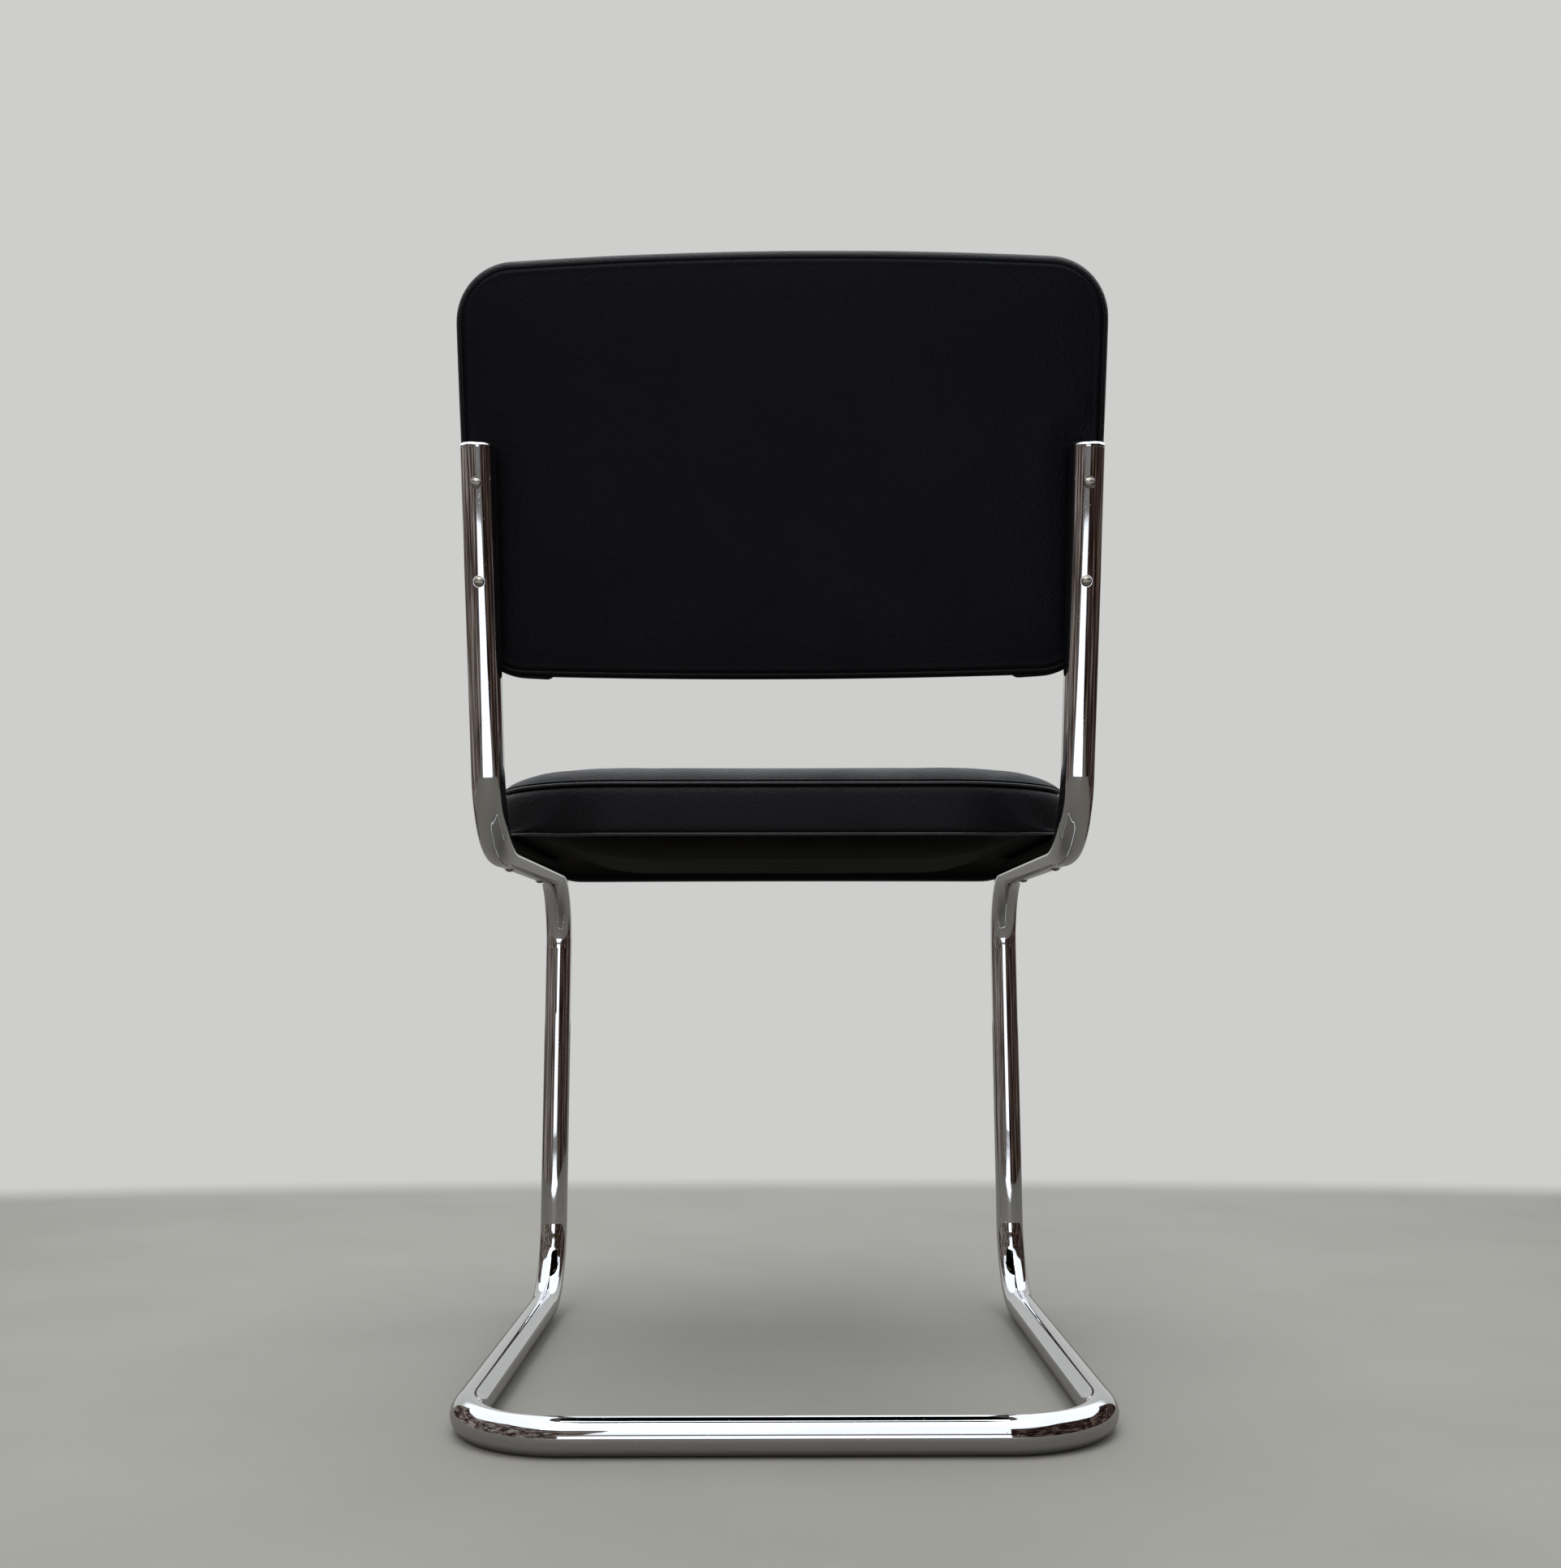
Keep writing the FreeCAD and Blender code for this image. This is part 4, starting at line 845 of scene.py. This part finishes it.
fill_out(back_front, np.flatnonzero(near_edge).tolist(), pressure=2.0, most=0.0025)
thicken(back_front, 0.001)
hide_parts("back_front_cover")

# Rear cover: a flat leatherette panel over the board's rear, sewn in along the groove. A thin wadding
# lifts it, except where the two uprights press it flat, so it dents round their tops.
back_rear_place = back_root @ Matrix(
    ((-1, 0, 0, 0), (0, 0, 1, 0), (0, 1, 0, 0), (0, 0, 0, 1))
) @ MILLIMETRES

# How high the wadding lifts the panel, heaps up into a fold and stands up by the seam, and how deep the
# panel sinks into the seam.
PILLOW, FOLD, RIDGE, SUNK = 2.8, 0.8, 0.45, 1.1


def rear_height(places):
    """The rear panel's level from the tubes' axes: a ridge by the seam, then a low pillow."""
    inside = distance_to(places, back_outline(4.9, -1))
    to_tube = np.hypot(
        abs(places[:, 0]) - (TRACK_HALF + SPLAY * places[:, 1] / UPRIGHT),
        np.clip(places[:, 1] - UPRIGHT - 2.0, 0, None),
    )
    free = 1 - np.exp(-((to_tube / 14.0) ** 2))
    pillow = PILLOW * (1 - np.exp(-inside / 18.0)) * free
    # The wadding that the tubes push aside heaps up in a soft fold round their tops.
    fold = FOLD * np.exp(-(((to_tube - 30.0) / 10.0) ** 2)) * np.clip((places[:, 1] - 230.0) / 40.0, 0, 1)
    ridge = RIDGE * np.exp(-(((inside - 3.0) / 1.5) ** 2)) * np.clip(to_tube / 6.0, 0, 1)
    sunk = SUNK * np.exp(-inside / 0.8)
    return -BACK_REAR + pillow + fold * np.clip(inside / 12.0, 0, 1) + ridge - sunk


draft = bmesh.new()
panel, ring = lay_grid(draft, back_outline(12.0, -1), BACK_WIDE, BACK_DEEP)
lift(panel, rear_height(flat_places(panel)))
for inset in (10.4, 9.2, 8.3, 7.5, 6.7, 6.0, 5.5, 5.1):
    flat = back_outline(inset, -1)
    ring = pull_ring(draft, ring, flat, rear_height(flat))
for point in draft.verts:
    point.co.y -= seam_drop(point.co.y)
# This panel gets a duller copy of the leatherette: a shaded copy, painted shade for the back's rear.
rear_shaded_copy = leatherette_copy("shaded_copy_leatherette_rear", 0.06)
back_rear = settle(
    draft, "back_rear_panel", back_rear_place, rear_shaded_copy, Vector((0, 0, 1))
)
thicken(back_rear, 0.0008)
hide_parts("back_rear_cover")

# Corner folds: the spare leatherette at the two lower corners, pleated into a flap and tucked under the
# bottom edge beside each upright. Each flap thickens away from its upright and ends in a rounded lip.
lower_edge = back_outline(0.3)
lower_edge = lower_edge[lower_edge[:, 1] < 140.0]
lower_edge = lower_edge[lower_edge[:, 0].argsort()]
# Where each flap starts beside its upright and how long it is, and where its rear edge is and its width.
FLAP_START, FLAP_LONG, FLAP_REAR, FLAP_WIDE = 214.5, 43.5, 15.0, 14.6
draft = bmesh.new()
for side in (-1, 1):
    flap = bmesh.ops.create_grid(draft, x_segments=22, y_segments=8, size=1.0)["verts"]
    for point in flap:
        u, v = (point.co.x + 1) / 2, (point.co.y + 1) / 2
        belly = 1 - (2 * v - 1) ** 4
        lip = min(1.0, (1 - u) / 0.08) ** 0.5 if u > 0.92 else 1.0
        deep = (1.0 + 1.3 * u) * belly * lip
        across = side * (FLAP_START - FLAP_LONG * u)
        level = np.interp(across, lower_edge[:, 0], lower_edge[:, 1])
        point.co = (across, level - deep, FLAP_REAR + FLAP_WIDE * v)
folds = settle(
    draft, "back_corner_flaps", back_front_place, leatherette, Vector((0, -1, 0))
)
thicken(folds, 0.001)
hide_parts("back_corner_folds")

# Floor and backdrop: a plain pale grey floor that runs into a paler wall. Neither belongs to the chair.
# Mirrored in the chrome the floor is darker, because the chrome takes its middle tones from it.
WALL = linear("#cecfcd")
draft = bmesh.new()
bmesh.ops.create_circle(draft, segments=96, radius=14.0, cap_ends=True)
ground = bpy.data.meshes.new("floor")
draft.to_mesh(ground)
draft.free()
floor = bpy.data.objects.new("floor", ground)
bpy.context.scene.collection.objects.link(floor)
screed, shader, place = finish("plain_screed", {"Base Color": linear("#a19f99"), "Roughness": 0.75})
ground.materials.append(screed)
# Between 1.1 and 1.3 m behind the chair and in front of it the floor takes on the wall's colour, and more
# than twice as far away at its sides.
ellipse = add_node(screed, "ShaderNodeMapping", {"Vector": place, "Scale": (0.45, 1.0, 1.0)})
away = add_node(screed, "ShaderNodeVectorMath", {0: ellipse.outputs[0]}, operation="LENGTH")
paling = add_node(
    screed, "ShaderNodeMapRange", {"Value": away.outputs["Value"], "From Min": 1.10, "From Max": 1.32},
    interpolation_type="SMOOTHSTEP",
)
seen = add_node(screed, "ShaderNodeLightPath")
shown = add_node(
    screed, "ShaderNodeMath", {0: seen.outputs["Is Camera Ray"], 1: paling.outputs[0]},
    operation="MULTIPLY",
)
cloud = add_node(screed, "ShaderNodeTexNoise", {"Vector": place, "Scale": 5.0, "Detail": 6.0})
pale_grey = add_node(
    screed, "ShaderNodeMix", {0: cloud.outputs["Fac"], 6: linear("#999791"), 7: linear("#a9a7a1")},
    data_type="RGBA",
)
# For glossy rays the floor's colour is painted darker: a painted reflection tone for the chrome.
floor_darker_in_reflections = add_node(
    screed, "ShaderNodeMix",
    {0: seen.outputs["Is Glossy Ray"], 6: pale_grey.outputs[2], 7: linear("#736f67")}, data_type="RGBA",
)
pale = add_node(screed, "ShaderNodeEmission", {"Color": WALL, "Strength": 1.0})
mixed = add_node(
    screed, "ShaderNodeMixShader", {0: shown.outputs[0], 1: shader.outputs[0], 2: pale.outputs[0]}
)
join(screed, shader, {"Base Color": floor_darker_in_reflections.outputs[2]})
join(screed, screed.node_tree.nodes["Material Output"], {"Surface": mixed.outputs[0]})

# The room's light: a plain pale level all round. Reflections show a bright ceiling above a brown room,
# and a pale wall in front of the chair.
sky = bpy.data.worlds.new("room")
sky.use_nodes = True
bpy.context.scene.world = sky
toward = add_node(sky, "ShaderNodeTexCoord").outputs["Generated"]
compass = add_node(sky, "ShaderNodeSeparateXYZ", {0: toward})
climb = add_node(
    sky, "ShaderNodeMapRange", {"Value": compass.outputs["Z"], "From Min": 0.30, "From Max": 0.42},
    interpolation_type="SMOOTHSTEP",
)
in_front = add_node(
    sky, "ShaderNodeMapRange", {"Value": compass.outputs["Y"], "From Min": -0.60, "From Max": -0.80},
    interpolation_type="SMOOTHSTEP",
)
walls = add_node(
    sky, "ShaderNodeMix", {0: in_front.outputs[0], 6: linear("#5d4f45"), 7: WALL}, data_type="RGBA"
)
mirrored = add_node(
    sky, "ShaderNodeMix", {0: climb.outputs[0], 6: walls.outputs[2], 7: linear("#f6faff")},
    data_type="RGBA",
)
path = add_node(sky, "ShaderNodeLightPath")
lit = add_node(
    sky, "ShaderNodeMix",
    {0: path.outputs["Is Glossy Ray"], 6: linear("#c5c7c8"), 7: mirrored.outputs[2]}, data_type="RGBA",
)
straight = add_node(
    sky, "ShaderNodeMath", {0: path.outputs["Is Camera Ray"], 1: path.outputs["Is Transmission Ray"]},
    operation="MAXIMUM",
)
backdrop = add_node(
    sky, "ShaderNodeMix", {0: straight.outputs[0], 6: lit.outputs[2], 7: WALL}, data_type="RGBA"
)
ceiling_glow = add_node(
    sky, "ShaderNodeMath", {0: path.outputs["Is Glossy Ray"], 1: climb.outputs[0]}, operation="MULTIPLY"
)
glowing = add_node(
    sky, "ShaderNodeMath", {0: ceiling_glow.outputs[0], 1: 0.7, 2: 1.0}, operation="MULTIPLY_ADD"
)
join(sky, sky.node_tree.nodes["Background"],
     {"Color": backdrop.outputs[2], "Strength": glowing.outputs[0]})


def lamp(name, spot, aim, wide, deep, watts):
    """A soft square lamp that looks from a spot at a point."""
    light = bpy.data.lights.new(name, "AREA")
    light.shape = "RECTANGLE"
    light.size = wide
    light.size_y = deep
    light.energy = watts
    holder = bpy.data.objects.new(name, light)
    look = (Vector(aim) - Vector(spot)).to_track_quat("-Z", "Y").to_matrix().to_4x4()
    holder.matrix_world = Matrix.Translation(spot) @ look
    bpy.context.scene.collection.objects.link(holder)


lamp("overhead_window", (0.0, 0.2, 2.7), (0.0, 0.0, 0.4), 2.4, 2.4, 34.0)
lamp("rear_window", (0.7, 2.3, 2.3), (0.0, 0.1, 0.5), 1.4, 1.0, 14.0)


# Reflectors: what stands round the chair in a studio. Only reflections show them: a bright doorway behind
# the camera, a patch of bright floor before it, and two curved dark brown flats at the chair's sides.
def reflector(name, colour, strength, grid_size, bend):
    """A glowing sheet that only reflections see; bend gives each point of a grid its place."""
    draft = bmesh.new()
    for point in bmesh.ops.create_grid(draft, x_segments=grid_size, y_segments=1, size=1.0)["verts"]:
        point.co = bend((point.co.x + 1) / 2, (point.co.y + 1) / 2)
    sheet_mesh = bpy.data.meshes.new(name)
    draft.to_mesh(sheet_mesh)
    draft.free()
    glow = bpy.data.materials.new(name)
    glow.use_nodes = True
    glow.node_tree.nodes.remove(glow.node_tree.nodes["Principled BSDF"])
    emission = add_node(glow, "ShaderNodeEmission", {"Color": colour, "Strength": strength})
    join(glow, glow.node_tree.nodes["Material Output"], {"Surface": emission.outputs[0]})
    sheet_mesh.materials.append(glow)
    made = bpy.data.objects.new(name, sheet_mesh)
    made.visible_camera = False
    made.visible_diffuse = False
    made.visible_shadow = False
    made.visible_transmission = False
    bpy.context.scene.collection.objects.link(made)
    return glow, emission


DAYLIGHT = linear("#f3f6ff")
reflector("doorway", DAYLIGHT, 2.1, 1, lambda u, v: (2.4 * u - 1.2, 4.6, 1.12 * v))
reflector("bright_floor", DAYLIGHT, 1.9, 1, lambda u, v: (1.5 * u - 0.75, 1.2 + 1.75 * v, 0.003))

FLAT_AWAY = 1.7


def flat_point(side, first, u, v):
    """A point of a curved flat: raised at its near end, and lower towards the chair's front."""
    turned = first + (135.0 - first) * u
    foot = 0.35 * np.clip((26.0 - turned) / 6.0, 0, 1)
    head = np.interp(turned, (first, 70.0, 100.0), (1.5, 1.7, 0.95))
    angle = math.radians(turned)
    return side * FLAT_AWAY * math.sin(angle), FLAT_AWAY * math.cos(angle), foot + (head - foot) * v


# For each flat: its side of the chair, its near end in degrees, and its tones from dark to light.
FLATS = (
    (1, 10.0, ("#15100f", "#463934", "#7f736c", "#b5aea8")),
    (-1, 16.0, ("#0c0707", "#241714", "#453630", "#7d6f66")),
)
for side, first, tones in FLATS:
    glow, emission = reflector(
        "brown_flat_%d" % (side + 1), linear("#5f4c40"), 1.0, 60,
        lambda u, v: flat_point(side, first, u, v),
    )
    spot = add_node(glow, "ShaderNodeTexCoord").outputs["Object"]
    clutter = add_node(
        glow, "ShaderNodeTexNoise", {"Vector": spot, "Scale": 5.0, "Detail": 7.0, "Roughness": 0.7}
    )
    varied = add_node(glow, "ShaderNodeValToRGB", {"Fac": clutter.outputs["Fac"]})
    for share, code in zip((0.36, 0.46, 0.54, 0.62), tones):
        stop = varied.color_ramp.elements.new(share)
        stop.color = linear(code)
    for end in (-1, 0):
        varied.color_ramp.elements.remove(varied.color_ramp.elements[end])
    join(glow, emission, {"Color": varied.outputs["Color"]})
